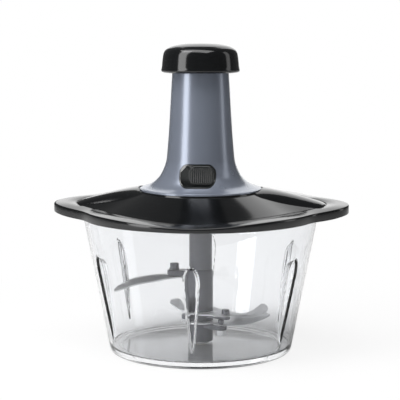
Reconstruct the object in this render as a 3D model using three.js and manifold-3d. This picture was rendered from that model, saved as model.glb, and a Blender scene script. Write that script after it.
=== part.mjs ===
// Hand-press vegetable chopper, in millimetres, +Z up, standing on the plane z = 0.
// The lock faces -Y and the lid's ears point along X.
import * as THREE from "three";
import { mergeVertices } from "three/addons/utils/BufferGeometryUtils.js";
import Module from "manifold-3d";

const wasm = await Module();
wasm.setup();

// Clearances that the fits share
const runGap = 0.3;
const cutOverrun = 4;

// Bowl
const bowlFootRadius = 73.6;
const bowlRimRadius = 94.6;
const bowlHeight = 109.8;
const bowlWall = 2.4;
const bowlFloor = 5.2;
const bowlFootRecess = 1.8;
const bowlFootWidth = 6;
const bowlCornerRadius = 3;
const bowlRebateHeight = 1.2;
const bowlRebateDepth = 1.2;
const bowlRibCount = 6;
const bowlRibDepth = 4.6;
const bowlRibHalfWidth = 7;
const bowlRibTop = 81;
const bowlRibBottom = 15;

// Centre pin and the boss that holds it
const pinRadius = 3;
const pinHeight = 12;
const pinSink = 3;
const pinBossRadius = 6;
const pinBossHeight = 1.2;

// Lid
const lidSkirtWall = 1.8;
const lidFitGap = 0.7;
const lidSkirtDrop = 0.9;
const lidEarReach = 119;
const lidEarHalfWidth = 39;
const lidEarThickness = 6.2;
const lidFrontHeight = 112.4;
const lidSideRise = 3.4;
const lidBackHeight = 121.8;
const lidStepHalfWidth = 23;
const lidEarHeight = 119.8;
const lidStripRise = 0.9;
const lidStripInnerRadius = 81;
const lidStripEarRadius = 102.3;
const lidPanelStep = 0.8;
const lidPanelTop = 129.5;
const lidPlateTop = 130.4;
const lidPlateThickness = 3;
const lidWall = 2.4;
const lidHubRadius = 49.6;
const lidHubStep = 0.5;
const lidHubBore = 15;
const lidPlugWall = 1.8;
const lidPlugDepth = 2.2;
const lidEdgeRound = 1.1;

// Side ridges of the lid
const ridgeCrestHeight = 132.5;
const ridgeNoseHeight = 120.2;
const ridgeNoseReach = 101;
const ridgeNoseLength = 8;
const ridgeRootHalfWidth = 24;
const ridgeNoseHalfWidth = 7;

// Lid seal
const sealHeight = 1.4;
const sealDrop = 0.3;

// Tower
const towerFlangeRadius = 49.1;
const towerHeight = 103.4;
const towerWall = 2.4;
const towerBossRadius = 4;
const towerBossPitchRadius = 37;
const towerBossHeight = 5;
const towerBossWebWidth = 3;
const towerScrewCount = 3;

// Lock recess in the tower's front
const recessLength = 28.6;
const recessHeight = 17.6;
const recessCentreHeight = 144.4;
const recessFloorDepth = 25.2;
const recessBackWall = 2;
const recessFrontDepth = 44;
const recessSlotHeight = 3.6;
const recessCorner = 6.8;
const trayWall = 0.7;
const trayFloor = 1.2;

// Lock button and latch
const lockTravel = 6.4;
const lockButtonFace = 30.2;
const lockRibCount = 11;
const lockRibDepth = 0.7;
const lockNeckWidth = 4;
const latchPlateWidth = 12;
const latchPlateHeight = 9;
const latchPlateThickness = 1.4;
const latchTongueThickness = 2.4;
const latchTongueWidth = 4;
const latchTongueStart = 0.6;
const latchScrewHead = 1.2;
const latchScrewHeadHeight = 0.6;

// Plunger, its catch and its stroke
const stroke = 45;
const plungerRadius = 17;
const plungerWall = 2.2;
const plungerBottom = 141;
const plungerFlangeRadius = 22;
const plungerFlangeThickness = 2.4;
const plungerTopThickness = 3;
const catchWidth = 6.3;
const catchHeight = 4.4;
const catchReach = 2.6;
const catchStart = 1.2;

// Guide sleeve, guide bush and base plate
const sleeveWall = 1.8;
const sleeveFootRadius = 22.4;
const sleeveFootThickness = 2;
const sleeveTop = 206;
const bushLength = 12;
const bushLipRadius = 21.4;
const bushLipThickness = 1.9;
const basePlateRadius = 22.6;
const basePlateThickness = 3.4;

// Push cap
const capHeight = 23.9;
const capLipRadius = 31.5;
const capOpeningRadius = 26;
const capLipHeight = 224.2;
const capWall = 2.2;
const capScrewRadius = 2.2;
const capScrewHeadRadius = 4;
const capScrewHeadHeight = 2;

// Twisted rod, drive nut and return spring
const rodLead = 30;
const rodRadius = 5;
const rodWaist = 2.9;
const rodTop = 212;
const rodCollarRadius = 8;
const rodCollarThickness = 2;
const rodJournalRadius = 4.4;
const rodEndHeight = 114.8;
const nutThickness = 6;
const nutGap = 0.6;
const seatRadius = 11;
const seatThickness = 1.6;
const seatPilotRadius = 7;
const seatPilotHeight = 3;
const springCoilRadius = 9.4;
const springWireRadius = 0.7;
const springTurns = 8;

// Bushes on the rod and the output
const rodBushRadius = 8;
const outputBushRadius = 10.4;
const outputBushLength = 3.4;

// Hub cup and clutch
const cupRadius = 21;
const cupWall = 2;
const cupFlangeRadius = 42;
const cupPadMargin = 1.5;
const cupFlangeThickness = 2.4;
const cupFloorHeight = 110.4;
const clutchRadius = 15;
const clutchToothCount = 10;
const clutchToothHeight = 1.6;
const clutchGap = 0.5;
const clutchPlateThickness = 3.4;
const clutchHubRadius = 7;
const clutchSpringRadius = 10;
const clutchSpringWireRadius = 0.5;
const clutchSpringTurns = 3;
const circlipRadius = 6.2;
const circlipThickness = 0.8;
const outputShaftRadius = 7;
const outputHexRadius = 5.9;
const outputHexBottom = 95;
const outputSealThickness = 1.4;
const outputSealRadius = 9.4;

// Screws that hold hub cup, lid and tower together
const screwRadius = 1.4;
const screwHeadRadius = 3;
const screwHeadHeight = 1.8;
const screwReach = 4;

// Stem, blade sleeve and its bush
const stemTubeRadius = 9.3;
const stemTubeTop = 107;
const stemSocketDepth = 14;
const stemSleeveRadius = 10.1;
const stemSleeveTop = 66;
const stemChamfer = 1.6;
const stemSpigotRadius = 7.2;
const stemSpigotDepth = 8;
const stemBushWall = 2;
const stemBushLength = 12;

// Blades, in the order upper, middle, lower
const bladeThickness = 1.1;
const upperBladeHeight = 59.8;
const middleBladeHeight = 31.2;
const lowerBladeHeight = 23.2;
const upperBladeReach = 69;
const middleBladeReach = 56;
const lowerBladeReach = 57;
const tailReach = 24.5;
const upperPegRadius = 3.5;
const upperPegHeight = 5.4;
const smallPegRadius = 2.4;
const smallPegHeight = 5.6;
const pegHeadHeight = 3.6;
const pegShankRadius = 1.5;
const pegShankEnd = 0.6;
const pegNutRadius = 4.6;
const pegNutHeight = 3.9;
const lugThickness = 4.4;
const lugHalfWidth = 6;
const upperLugReach = 21.4;
const middleLugReach = 26.4;
const lowerLugReach = 23;
const tailLugReach = 15;
const tailSeatRise = 3.4;
const bladeHubWidth = 5.4;

// Plan angles of the arms about the stem, in degrees
const upperBladeAngle = 185;
const middleLugAngle = -36;
const lowerLugAngle = -40;
const tailAngle = 181;
const tailLugAngle = 230;

// Blade arms as shares of their reach:
// [distance out, leading edge, trailing edge, rise of the leading edge, rise of the trailing edge]
const upperBladeShares = [
  [0.18, -0.08, 0.08, 0, 0],
  [0.3, -0.083, 0.085, 0.008, -0.01],
  [0.39, -0.085, 0.09, 0.014, -0.02],
  [0.46, -0.06, 0.115, 0.018, -0.028],
  [0.56, -0.02, 0.16, 0.018, -0.04],
  [0.68, 0.055, 0.21, 0.012, -0.05],
  [0.8, 0.14, 0.28, 0, -0.066],
  [0.9, 0.225, 0.335, -0.033, -0.094],
  [0.96, 0.29, 0.36, -0.058, -0.108],
  [0.99, 0.34, 0.37, -0.082, -0.11],
];
const middleBladeShares = [
  [0.2, -0.37, 0.2, 0, 0],
  [0.25, -0.37, 0.1, 0, 0],
  [0.34, -0.37, 0.03, 0, 0],
  [0.45, -0.37, -0.1, 0, 0],
  [0.57, -0.37, -0.2, 0, 0.002],
  [0.64, -0.37, -0.195, 0, 0.004],
  [0.7, -0.368, -0.16, 0, 0.01],
  [0.76, -0.365, -0.075, 0, 0.022],
  [0.82, -0.355, 0.1, 0.004, 0.036],
  [0.87, -0.33, 0.25, 0.01, 0.045],
  [0.91, -0.25, 0.3, 0.018, 0.046],
  [0.95, -0.17, 0.21, 0.026, 0.044],
  [0.98, -0.1, 0.08, 0.032, 0.04],
];
const lowerBladeShares = [
  [0.2, -0.26, 0.1, 0, 0],
  [0.26, -0.3, 0.05, 0, 0],
  [0.35, -0.32, 0, 0, 0],
  [0.42, -0.31, -0.005, -0.002, 0.02],
  [0.5, -0.28, 0.01, -0.006, 0.06],
  [0.58, -0.225, 0.045, -0.008, 0.08],
  [0.65, -0.165, 0.09, -0.01, 0.08],
  [0.74, -0.07, 0.16, -0.008, 0.075],
  [0.83, 0.03, 0.23, 0, 0.065],
  [0.91, 0.13, 0.295, 0.01, 0.05],
  [0.96, 0.21, 0.32, 0.018, 0.035],
  [0.99, 0.28, 0.33, 0.024, 0.03],
];
const tailShares = [
  [-0.45, 0.45, 0.78, 0, 0],
  [-0.2, 0.47, 0.81, 0, 0.01],
  [0.05, 0.46, 0.83, 0, 0.02],
  [0.3, 0.4, 0.82, 0.01, 0.07],
  [0.45, 0.1, 0.81, 0.06, 0.12],
  [0.58, -0.1, 0.79, 0.2, 0.165],
  [0.68, -0.18, 0.76, 0.34, 0.2],
  [0.8, -0.15, 0.68, 0.38, 0.25],
  [0.9, -0.08, 0.58, 0.375, 0.29],
  [0.98, 0, 0.49, 0.367, 0.33],
];

// Facets
const roundSteps = 28;
const smallSteps = 12;

// Heights and radii worked out from the sizes above
const lidSkirtInner = bowlRimRadius - bowlRebateDepth + lidFitGap;
const lidOuterRadius = lidSkirtInner + lidSkirtWall;
const lidSkirtBottom = bowlHeight - lidSkirtDrop;
const lidPlateBottom = lidPlateTop - lidPlateThickness;
const towerBottom = lidPlateTop + runGap;
const towerTop = towerBottom + towerHeight;
const sleeveInner = plungerRadius + runGap;
const sleeveOuter = sleeveInner + sleeveWall;
const basePlateBottom = lidPlateTop + runGap;
const basePlateTop = basePlateBottom + basePlateThickness;
const sleeveBottom = basePlateTop + runGap;
const rodCollarBottom = plungerBottom - rodCollarThickness - 2 * runGap;
const rodBushTop = rodCollarBottom - runGap;
const bushLipTop = towerTop + runGap + bushLipThickness;
const plungerFlangeBottom = bushLipTop + runGap;
const plungerTop = plungerFlangeBottom + plungerFlangeThickness + plungerTopThickness;
const plungerCeiling = plungerTop - plungerTopThickness;
const catchBottom = plungerBottom + runGap;
const catchTop = catchBottom + catchHeight;
const tongueBottom = catchTop + runGap;
const trayInnerLength = recessLength - 2 * trayWall;
const trayInnerHeight = recessHeight - 2 * trayWall;
const trayFront = recessFloorDepth + runGap + trayFloor;
const cupTop = lidPlateBottom - runGap;
const outputBushTop = cupFloorHeight + outputBushLength;
const outputPlateTop = outputBushTop + runGap + clutchPlateThickness;
const floorTop = bowlFloor;
const sleeveFoot = floorTop + pinBossHeight + runGap;
const stemTubeInnerRadius = outputHexRadius + 2 * runGap;

// Colours of the photograph's finishes
const finishes = {
  clear: { color: 0xeef2f4, roughness: 0.05, metalness: 0 },
  black: { color: 0x17191c, roughness: 0.15, metalness: 0 },
  tower: { color: 0x818899, roughness: 0.3, metalness: 0 },
  stem: { color: 0x6c7078, roughness: 0.4, metalness: 0 },
  steel: { color: 0xb4b7bb, roughness: 0.25, metalness: 1 },
  brass: { color: 0xb09050, roughness: 0.35, metalness: 1 },
  nylon: { color: 0xdcdcd6, roughness: 0.5, metalness: 0 },
  silicone: { color: 0xc9ccd0, roughness: 0.6, metalness: 0 },
};

const clampShare = (t) => Math.min(1, Math.max(0, t));
const easeShare = (t) => clampShare(t) ** 2 * (3 - 2 * clampShare(t));
const toRad = THREE.MathUtils.degToRad;

// A manifold solid from any closed geometry
function solidOf(geometry) {
  const bare = geometry.clone();
  bare.deleteAttribute("normal");
  bare.deleteAttribute("uv");
  const merged = mergeVertices(bare, 1e-4);
  return new wasm.Manifold(
    new wasm.Mesh({
      numProp: 3,
      vertProperties: merged.attributes.position.array,
      triVerts: new Uint32Array(merged.index.array),
    }),
  );
}

// A geometry from a manifold solid
function geometryOf(solid) {
  const made = solid.getMesh();
  const geometry = new THREE.BufferGeometry();
  geometry.setAttribute("position", new THREE.BufferAttribute(made.vertProperties, 3));
  geometry.setIndex(new THREE.BufferAttribute(made.triVerts, 1));
  return geometry;
}

function unite(first, ...others) {
  return geometryOf(others.reduce((sum, g) => sum.add(solidOf(g)), solidOf(first)));
}

function cut(first, ...others) {
  return geometryOf(others.reduce((sum, g) => sum.subtract(solidOf(g)), solidOf(first)));
}

function common(first, second) {
  return geometryOf(solidOf(first).intersect(solidOf(second)));
}

// A turned piece about Z from a list of [radius, height], which ends on the axis or closes on itself
function turned(outline, steps = roundSteps) {
  const points = outline.map(([r, z]) => new THREE.Vector2(r, z));
  return new THREE.LatheGeometry(points, steps).rotateX(Math.PI / 2);
}

function disc(radius, bottom, top, steps = roundSteps) {
  return turned([[0, bottom], [radius, bottom], [radius, top], [0, top]], steps);
}

function ring(inner, outer, bottom, top, steps = roundSteps) {
  return turned(
    [[inner, bottom], [outer, bottom], [outer, top], [inner, top], [inner, bottom]],
    steps,
  );
}

function box(x0, x1, y0, y1, z0, z1) {
  const made = new THREE.BoxGeometry(x1 - x0, y1 - y0, z1 - z0);
  return made.translate((x0 + x1) / 2, (y0 + y1) / 2, (z0 + z1) / 2);
}

// A closed surface from rows of points. Rows close round; ends are fans or joined to each other.
function skinned(rows, closesOnItself) {
  const position = rows.flat().flatMap((p) => [p.x, p.y, p.z]);
  const count = rows[0].length;
  const index = [];
  const last = closesOnItself ? rows.length : rows.length - 1;
  for (let i = 0; i < last; i++) {
    for (let j = 0; j < count; j++) {
      const a = i * count + j;
      const b = i * count + ((j + 1) % count);
      const c = ((i + 1) % rows.length) * count + j;
      const d = ((i + 1) % rows.length) * count + ((j + 1) % count);
      index.push(a, b, d, a, d, c);
    }
  }
  if (!closesOnItself) {
    const top = (rows.length - 1) * count;
    for (let j = 1; j < count - 1; j++) {
      index.push(0, j + 1, j);
      index.push(top, top + j, top + j + 1);
    }
  }
  const geometry = new THREE.BufferGeometry();
  geometry.setAttribute("position", new THREE.Float32BufferAttribute(position, 3));
  geometry.setIndex(index);
  return geometry;
}

// A body of revolution whose outline changes with the angle: outlineAt(angle) gives [radius, height]
function swept(angles, outlineAt, closesOnItself) {
  const columns = angles.map((angle) =>
    outlineAt(angle).map(
      ([r, z]) => new THREE.Vector3(r * Math.cos(angle), r * Math.sin(angle), z),
    ),
  );
  const rows = columns[0].map((_, i) => columns.map((column) => column[i]));
  return skinned(rows, closesOnItself);
}

// Angles of a half turn's worth of steps, mirrored all round
function anglesFrom(quarterDegrees) {
  const quarter = quarterDegrees.map(toRad);
  const half = [...quarter, ...quarter.slice(0, -1).reverse().map((a) => Math.PI - a)];
  return [...half, ...half.slice(1, -1).map((a) => a + Math.PI)];
}

// Bowl: a tapered wall with inward ribs, a thick floor and a foot ring
const bowlTaperShare = (bowlRimRadius - bowlFootRadius) / bowlHeight;
const bowlOuterAt = (z) => bowlFootRadius + bowlTaperShare * z;

// How deep the ribs press in at an angle and height: round-topped, narrowing to a point below
function ribDepthAt(angle, z) {
  const pitch = (2 * Math.PI) / bowlRibCount;
  const away = Math.abs((((angle + Math.PI / 2) % pitch) + 1.5 * pitch) % pitch - pitch / 2);
  const downShare = clampShare((bowlRibTop - z) / (bowlRibTop - bowlRibBottom));
  const roundShare = Math.sqrt(1 - (1 - Math.min(1, downShare * 5)) ** 2);
  const halfWidth = bowlRibHalfWidth * roundShare * (1 - downShare) ** 0.55;
  if (z >= bowlRibTop || z <= bowlRibBottom || halfWidth <= 0) return 0;
  const acrossShare = (away * bowlOuterAt(z)) / halfWidth;
  const fadeShare = Math.min(1, halfWidth / bowlRibHalfWidth + 0.2);
  const roll = Math.cos((Math.min(1, acrossShare) ** 2 * Math.PI) / 2) ** 0.9;
  return bowlRibDepth * fadeShare * roll;
}

const lidPlugOuter = bowlOuterAt(bowlHeight - lidPlugDepth) - bowlWall - 6 * runGap;

function makeBowl() {
  const heightShares = [0.05, 0.14, 0.3, 0.5, 0.66, 0.715, 0.74, 1];
  const angles = [];
  const stepDegrees = [-5, -3.4, -1.7, 0, 1.7, 3.4, 5, 15, 25, 35, 45];
  for (let k = 0; k < bowlRibCount; k++) {
    for (const d of stepDegrees) angles.push(toRad(d - 90) + (k * 2 * Math.PI) / bowlRibCount);
  }
  const footInner = bowlFootRadius - bowlCornerRadius - bowlFootWidth;
  const rebateBottom = bowlHeight - bowlRebateHeight;
  const outlineAt = (angle) => {
    const outer = heightShares.slice(1, -1).map((share) => {
      const z = share * bowlHeight;
      return [bowlOuterAt(z) - ribDepthAt(angle, z), z];
    });
    const inner = heightShares.slice(1).reverse().map((share) => {
      const z = share * bowlHeight;
      return [bowlOuterAt(z) - bowlWall - ribDepthAt(angle, z), z];
    });
    return [
      [0, bowlFootRecess],
      [footInner, bowlFootRecess],
      [footInner + bowlFootRecess / 2, 0],
      [bowlFootRadius - bowlCornerRadius, 0],
      [bowlOuterAt(bowlCornerRadius) - bowlCornerRadius / 4, bowlCornerRadius / 2],
      ...outer,
      [bowlOuterAt(rebateBottom), rebateBottom],
      [bowlRimRadius - bowlRebateDepth, rebateBottom],
      [bowlRimRadius - bowlRebateDepth, bowlHeight],
      ...inner,
      [bowlOuterAt(bowlFloor) - bowlWall - bowlCornerRadius / 2, bowlFloor + bowlCornerRadius / 3],
      [bowlOuterAt(bowlFloor) - bowlWall - bowlCornerRadius, floorTop],
      [pinBossRadius, floorTop],
      [pinBossRadius, floorTop + pinBossHeight],
      [0, floorTop + pinBossHeight],
    ];
  };
  const bore = disc(pinRadius + runGap, floorTop - pinSink, floorTop + cutOverrun, smallSteps);
  return cut(swept(angles, outlineAt, false), bore);
}

function makeCentrePin() {
  const bottom = floorTop - pinSink + runGap;
  const top = floorTop + pinHeight;
  const tipRadius = pinRadius / 2;
  return turned(
    [[0, bottom], [pinRadius, bottom], [pinRadius, top - tipRadius], [tipRadius, top], [0, top]],
    smallSteps,
  );
}

// Lid outline in plan: a circle with an ear at each side
function lidReachAt(angle) {
  const earPower = 2.5;
  const blendPower = 15;
  const c = Math.abs(Math.cos(angle)) / lidEarReach;
  const s = Math.abs(Math.sin(angle)) / lidEarHalfWidth;
  const ear = (c ** earPower + s ** earPower) ** (-1 / earPower);
  return (lidOuterRadius ** blendPower + ear ** blendPower) ** (1 / blendPower);
}

// How far a place on the lid's edge belongs to an ear, from 0 to 1
function earShareAt(angle) {
  const x = Math.abs(lidReachAt(angle) * Math.cos(angle));
  const startShare = 0.65;
  const endShare = 1.1;
  return easeShare((x / lidEarReach - startShare) / (endShare - startShare));
}

// Height of the lid's edge: low in front, rising to the sides, high behind, with an eased step under each ear
function lidEdgeAt(angle) {
  const riseShare = 0.65;
  const earBlendPower = 1.5;
  const sideShare = Math.abs(lidReachAt(angle) * Math.cos(angle)) / lidEarReach;
  const front = lidFrontHeight + lidSideRise * easeShare(sideShare / riseShare);
  const stepShare = (lidReachAt(angle) * Math.sin(angle)) / lidStepHalfWidth;
  const plain = THREE.MathUtils.lerp(front, lidBackHeight, easeShare((stepShare + 1) / 2));
  return THREE.MathUtils.lerp(plain, lidEarHeight, earShareAt(angle) ** earBlendPower);
}

function stripInnerAt(angle) {
  const startShare = 0.8;
  const sideShare = clampShare((Math.abs(Math.cos(angle)) - startShare) / (1 - startShare)) ** 5;
  return THREE.MathUtils.lerp(lidStripInnerRadius, lidStripEarRadius, sideShare);
}

const stripHeightAt = (angle) => lidEdgeAt(angle) + lidStripRise * (1 - earShareAt(angle));

// Height of the lid's top face between the hub and the strip, ridges included
function lidTopAt(angle, r) {
  const hollowPower = 1.06;
  const edge = stripInnerAt(angle);
  const low = stripHeightAt(angle) - lidPanelStep;
  const inShare = clampShare((edge - r) / (edge - lidHubRadius));
  const panel = low + (lidPanelTop - low) * inShare ** hollowPower;
  const x = Math.abs(r * Math.cos(angle));
  const y = Math.abs(r * Math.sin(angle));
  const alongShare = clampShare((x - lidHubRadius) / (ridgeNoseReach - lidHubRadius));
  const halfWidth = THREE.MathUtils.lerp(ridgeRootHalfWidth, ridgeNoseHalfWidth, alongShare ** 0.8);
  const noseShare = clampShare((x - ridgeNoseReach + ridgeNoseLength) / ridgeNoseLength);
  if (y >= halfWidth || noseShare >= 1) return panel;
  const crest = ridgeCrestHeight - (ridgeCrestHeight - ridgeNoseHeight) * alongShare ** 1.25;
  const roll = (1 - (y / halfWidth) ** 2) * Math.sqrt(1 - noseShare ** 2);
  return panel + Math.max(0, crest - panel) * roll;
}

function lidOutlineAt(angle) {
  const reach = lidReachAt(angle);
  const edge = lidEdgeAt(angle);
  const stripInner = stripInnerAt(angle);
  const panelEdge = stripInner - lidPanelStep;
  const stripHeight = stripHeightAt(angle);
  const earDrop = (edge - lidEarThickness - lidSkirtBottom) * earShareAt(angle);
  const plugOuter = lidPlugOuter;
  const seat = bowlHeight + runGap;
  const hubWallTop = lidHubRadius + lidHubStep;
  const topShares = [0, 0.14, 0.3, 0.46, 0.64, 0.86];
  const underShares = [0.9, 0.45, 0.07];
  const radiusAt = (share) => THREE.MathUtils.lerp(hubWallTop, panelEdge, share);
  const top = topShares.map((share) => [radiusAt(share), lidTopAt(angle, radiusAt(share))]);
  const under = underShares.map((share) => [
    Math.min(radiusAt(share), plugOuter - lidPlugWall - runGap * (1 + share)),
    lidTopAt(angle, radiusAt(share)) - lidWall,
  ]);
  return [
    [lidHubBore, lidPlateBottom],
    [lidHubBore, lidPlateTop],
    [lidHubRadius, lidPlateTop],
    ...top,
    [panelEdge, stripHeight - lidPanelStep],
    [stripInner, stripHeight],
    [reach - lidEdgeRound, edge],
    [reach, edge - lidEdgeRound],
    [reach, lidSkirtBottom + earDrop],
    [lidSkirtInner + lidSkirtWall * 0.7 + (reach - lidOuterRadius) * 0.08, lidSkirtBottom + earDrop],
    [lidSkirtInner + lidSkirtWall * 0.4, lidSkirtBottom],
    [lidSkirtInner, lidSkirtBottom],
    [lidSkirtInner, seat],
    [plugOuter, seat],
    [plugOuter, bowlHeight - lidPlugDepth],
    [plugOuter - lidPlugWall, bowlHeight - lidPlugDepth],
    ...under,
    [lidHubRadius - lidWall, lidPlateBottom],
  ];
}

function makeLid() {
  const quarterDegrees = [0, 1.8, 4, 7, 10.5, 14, 18, 22, 26, 31, 38, 47, 58, 69, 80, 90];
  const shell = swept(anglesFrom(quarterDegrees), (angle) => lidOutlineAt(angle).reverse(), true);
  return cut(shell, ...screwPlaces().map((p) => screwHole(p, lidPlateBottom, lidPlateTop)));
}

// Places of the screws that hold cup, lid and tower
function screwPlaces() {
  return screwAngles().map((angle) => [
    towerBossPitchRadius * Math.cos(angle),
    towerBossPitchRadius * Math.sin(angle),
  ]);
}

function screwAngles() {
  return Array.from(
    { length: towerScrewCount },
    (_, k) => Math.PI / 2 + (k * 2 * Math.PI) / towerScrewCount,
  );
}

function screwHole([x, y], bottom, top) {
  const made = disc(screwRadius + runGap, bottom - cutOverrun, top + cutOverrun, smallSteps);
  return made.translate(x, y, 0);
}

function makeTowerScrew([x, y]) {
  const under = cupTop - cupFlangeThickness - runGap;
  const tip = towerBottom + screwReach;
  return turned(
    [
      [0, under - screwHeadHeight],
      [screwHeadRadius * 0.7, under - screwHeadHeight],
      [screwHeadRadius, under],
      [screwRadius, under],
      [screwRadius, tip],
      [0, tip],
    ],
    smallSteps,
  ).translate(x, y, 0);
}

function makeLidSeal() {
  const bottom = bowlHeight - lidPlugDepth + sealDrop;
  const lip = bowlOuterAt(bottom) - bowlWall - 2 * runGap;
  const inner = lidPlugOuter + 2 * runGap;
  return turned([
    [inner, bottom],
    [lip, bottom + sealHeight / 4],
    [lip, bottom + (sealHeight * 3) / 4],
    [inner, bottom + sealHeight],
    [inner, bottom],
  ], 1.5 * roundSteps);
}

// Tower outline as [share of the flange radius, share of the height]
const towerOutlineShares = [
  [1, 0], [1, 0.01], [0.91, 0.024], [0.82, 0.042], [0.74, 0.069], [0.67, 0.104],
  [0.618, 0.148], [0.556, 0.227], [0.516, 0.46], [0.479, 0.771], [0.452, 1],
];

function towerOuter() {
  return towerOutlineShares.map(([r, z]) => [
    r * towerFlangeRadius,
    towerBottom + z * towerHeight,
  ]);
}

// A bar across X with round corners, drawn out towards the front from one depth to another
function roundBar(length, height, corner, fromDepth, toDepth, centreX) {
  const right = length / 2 - corner;
  const top = height / 2 - corner;
  const shape = new THREE.Shape();
  shape.absarc(right, -top, corner, -Math.PI / 2, 0, false);
  shape.absarc(right, top, corner, 0, Math.PI / 2, false);
  shape.absarc(-right, top, corner, Math.PI / 2, Math.PI, false);
  shape.absarc(-right, -top, corner, Math.PI, (3 * Math.PI) / 2, false);
  const made = new THREE.ExtrudeGeometry(shape, {
    depth: toDepth - fromDepth,
    bevelEnabled: false,
    curveSegments: smallSteps / 4,
  });
  return made.rotateX(Math.PI / 2).translate(centreX, -fromDepth, recessCentreHeight);
}

// Everything inside the tower's outer face
function towerWhole() {
  return turned([[0, towerBottom], ...towerOuter(), [0, towerTop]]);
}

// The slot through the recess's floor that the button's neck slides in
function latchSlot() {
  return box(
    latchTongueStart - lockTravel - runGap,
    latchTongueStart + lockNeckWidth + runGap,
    -recessFloorDepth - cutOverrun,
    -recessFloorDepth + recessBackWall + cutOverrun,
    recessCentreHeight - recessSlotHeight / 2,
    recessCentreHeight + recessSlotHeight / 2,
  );
}

// Black tray that lines the recess and ends at the tower's outer face
function makeLockTray() {
  const back = recessFloorDepth + runGap;
  const blank = roundBar(recessLength, recessHeight, recessCorner, back, recessFrontDepth, 0);
  const hollow = roundBar(
    trayInnerLength, trayInnerHeight, recessCorner - trayWall, trayFront, recessFrontDepth + cutOverrun, 0,
  );
  return cut(common(blank, towerWhole()), hollow, latchSlot());
}

function makeTower() {
  const outer = towerOuter();
  const inner = outer.slice(1).map(([r, z], i) => {
    const before = outer[i];
    const slopeShare = Math.hypot(r - before[0], z - before[1]);
    const across = (towerWall * (z - before[1])) / slopeShare;
    const down = (towerWall * (before[0] - r)) / slopeShare;
    return [r - across, Math.max(towerBottom, z - down)];
  }).filter(([, z]) => z > towerBottom + towerWall / 3);
  inner[inner.length - 1][1] = towerTop;
  const sparse = inner.filter((_, i) => i % 2 === 0 || i === inner.length - 1);
  const mouth = [towerFlangeRadius - 2 * towerWall, towerBottom];
  const shell = turned([mouth, ...outer, ...sparse.reverse(), mouth]);
  const whole = towerWhole();
  const backDepth = recessFloorDepth - recessBackWall;
  const wide = 2 * recessBackWall;
  const block = roundBar(
    recessLength + wide, recessHeight + wide, recessCorner + recessBackWall,
    backDepth, recessFrontDepth, 0,
  );
  const pocket = roundBar(
    recessLength + 2 * runGap, recessHeight + 2 * runGap, recessCorner + runGap,
    recessFloorDepth, recessFrontDepth + cutOverrun, 0,
  );
  const slot = latchSlot();
  const bossTop = towerBottom + towerBossHeight;
  const bosses = screwPlaces().map(([x, y]) =>
    disc(towerBossRadius, towerBottom, bossTop, smallSteps).translate(x, y, 0),
  );
  const webs = screwAngles().map((angle) =>
    box(
      towerBossPitchRadius, towerFlangeRadius,
      -towerBossWebWidth / 2, towerBossWebWidth / 2,
      towerBottom, bossTop,
    ).rotateZ(angle),
  );
  const holes = screwPlaces().map(([x, y]) =>
    disc(screwRadius + runGap, towerBottom - cutOverrun, towerBottom + screwReach + runGap, smallSteps)
      .translate(x, y, 0),
  );
  const inside = [block, ...bosses, ...webs].map((solid) => common(solid, whole));
  const backed = unite(shell, ...inside);
  return cut(backed, pocket, slot, ...holes);
}

// Guide sleeve: a foot on the base plate and a tube with the slot that the catch rides in
function makeGuideSleeve() {
  const body = turned([
    [sleeveInner, sleeveBottom],
    [sleeveFootRadius, sleeveBottom],
    [sleeveFootRadius, sleeveBottom + sleeveFootThickness],
    [sleeveOuter, sleeveBottom + sleeveFootThickness],
    [sleeveOuter, sleeveTop],
    [sleeveInner, sleeveTop],
    [sleeveInner, sleeveBottom],
  ]);
  const catchSlot = box(
    -catchStart - catchWidth - runGap,
    -catchStart + runGap,
    -sleeveOuter - cutOverrun,
    -sleeveInner + cutOverrun,
    sleeveBottom + sleeveFootThickness + runGap,
    catchTop + stroke + runGap,
  );
  const tongueSlot = box(
    latchTongueStart - lockTravel - runGap,
    latchTongueStart + latchTongueWidth + runGap,
    -sleeveOuter - cutOverrun,
    -sleeveInner + cutOverrun,
    tongueBottom - runGap,
    tongueBottom + latchTongueThickness + runGap,
  );
  return cut(body, catchSlot, tongueSlot);
}

function makeGuideBush() {
  const outer = towerOutlineShares.at(-1)[0] * towerFlangeRadius - towerWall - runGap;
  const bottom = towerTop - bushLength;
  return turned([
    [sleeveInner, bottom],
    [outer, bottom],
    [outer, towerTop + runGap],
    [bushLipRadius, towerTop + runGap],
    [bushLipRadius, bushLipTop],
    [sleeveInner, bushLipTop],
    [sleeveInner, bottom],
  ]);
}

function makeBasePlate() {
  const bore = rodBushRadius + runGap;
  return ring(bore, basePlateRadius, basePlateBottom, basePlateTop);
}

function makeRodBush() {
  const flange = rodBushRadius + sleeveWall;
  const flangeBottom = basePlateTop + runGap;
  const inner = rodJournalRadius + runGap;
  return turned([
    [inner, basePlateBottom],
    [rodBushRadius, basePlateBottom],
    [rodBushRadius, flangeBottom],
    [flange, flangeBottom],
    [flange, rodBushTop],
    [inner, rodBushTop],
    [inner, basePlateBottom],
  ], smallSteps);
}

// Push cap outline as [share of the lip radius, share of the height above the lip's underside]
const capOutlineShares = [
  [0.94, 0.035], [0.99, 0.065], [1, 0.105], [0.975, 0.33],
  [0.95, 0.61], [0.915, 0.725], [0.868, 0.79], [0.73, 0.89], [0.5, 0.963], [0.25, 0.992],
];

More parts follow.
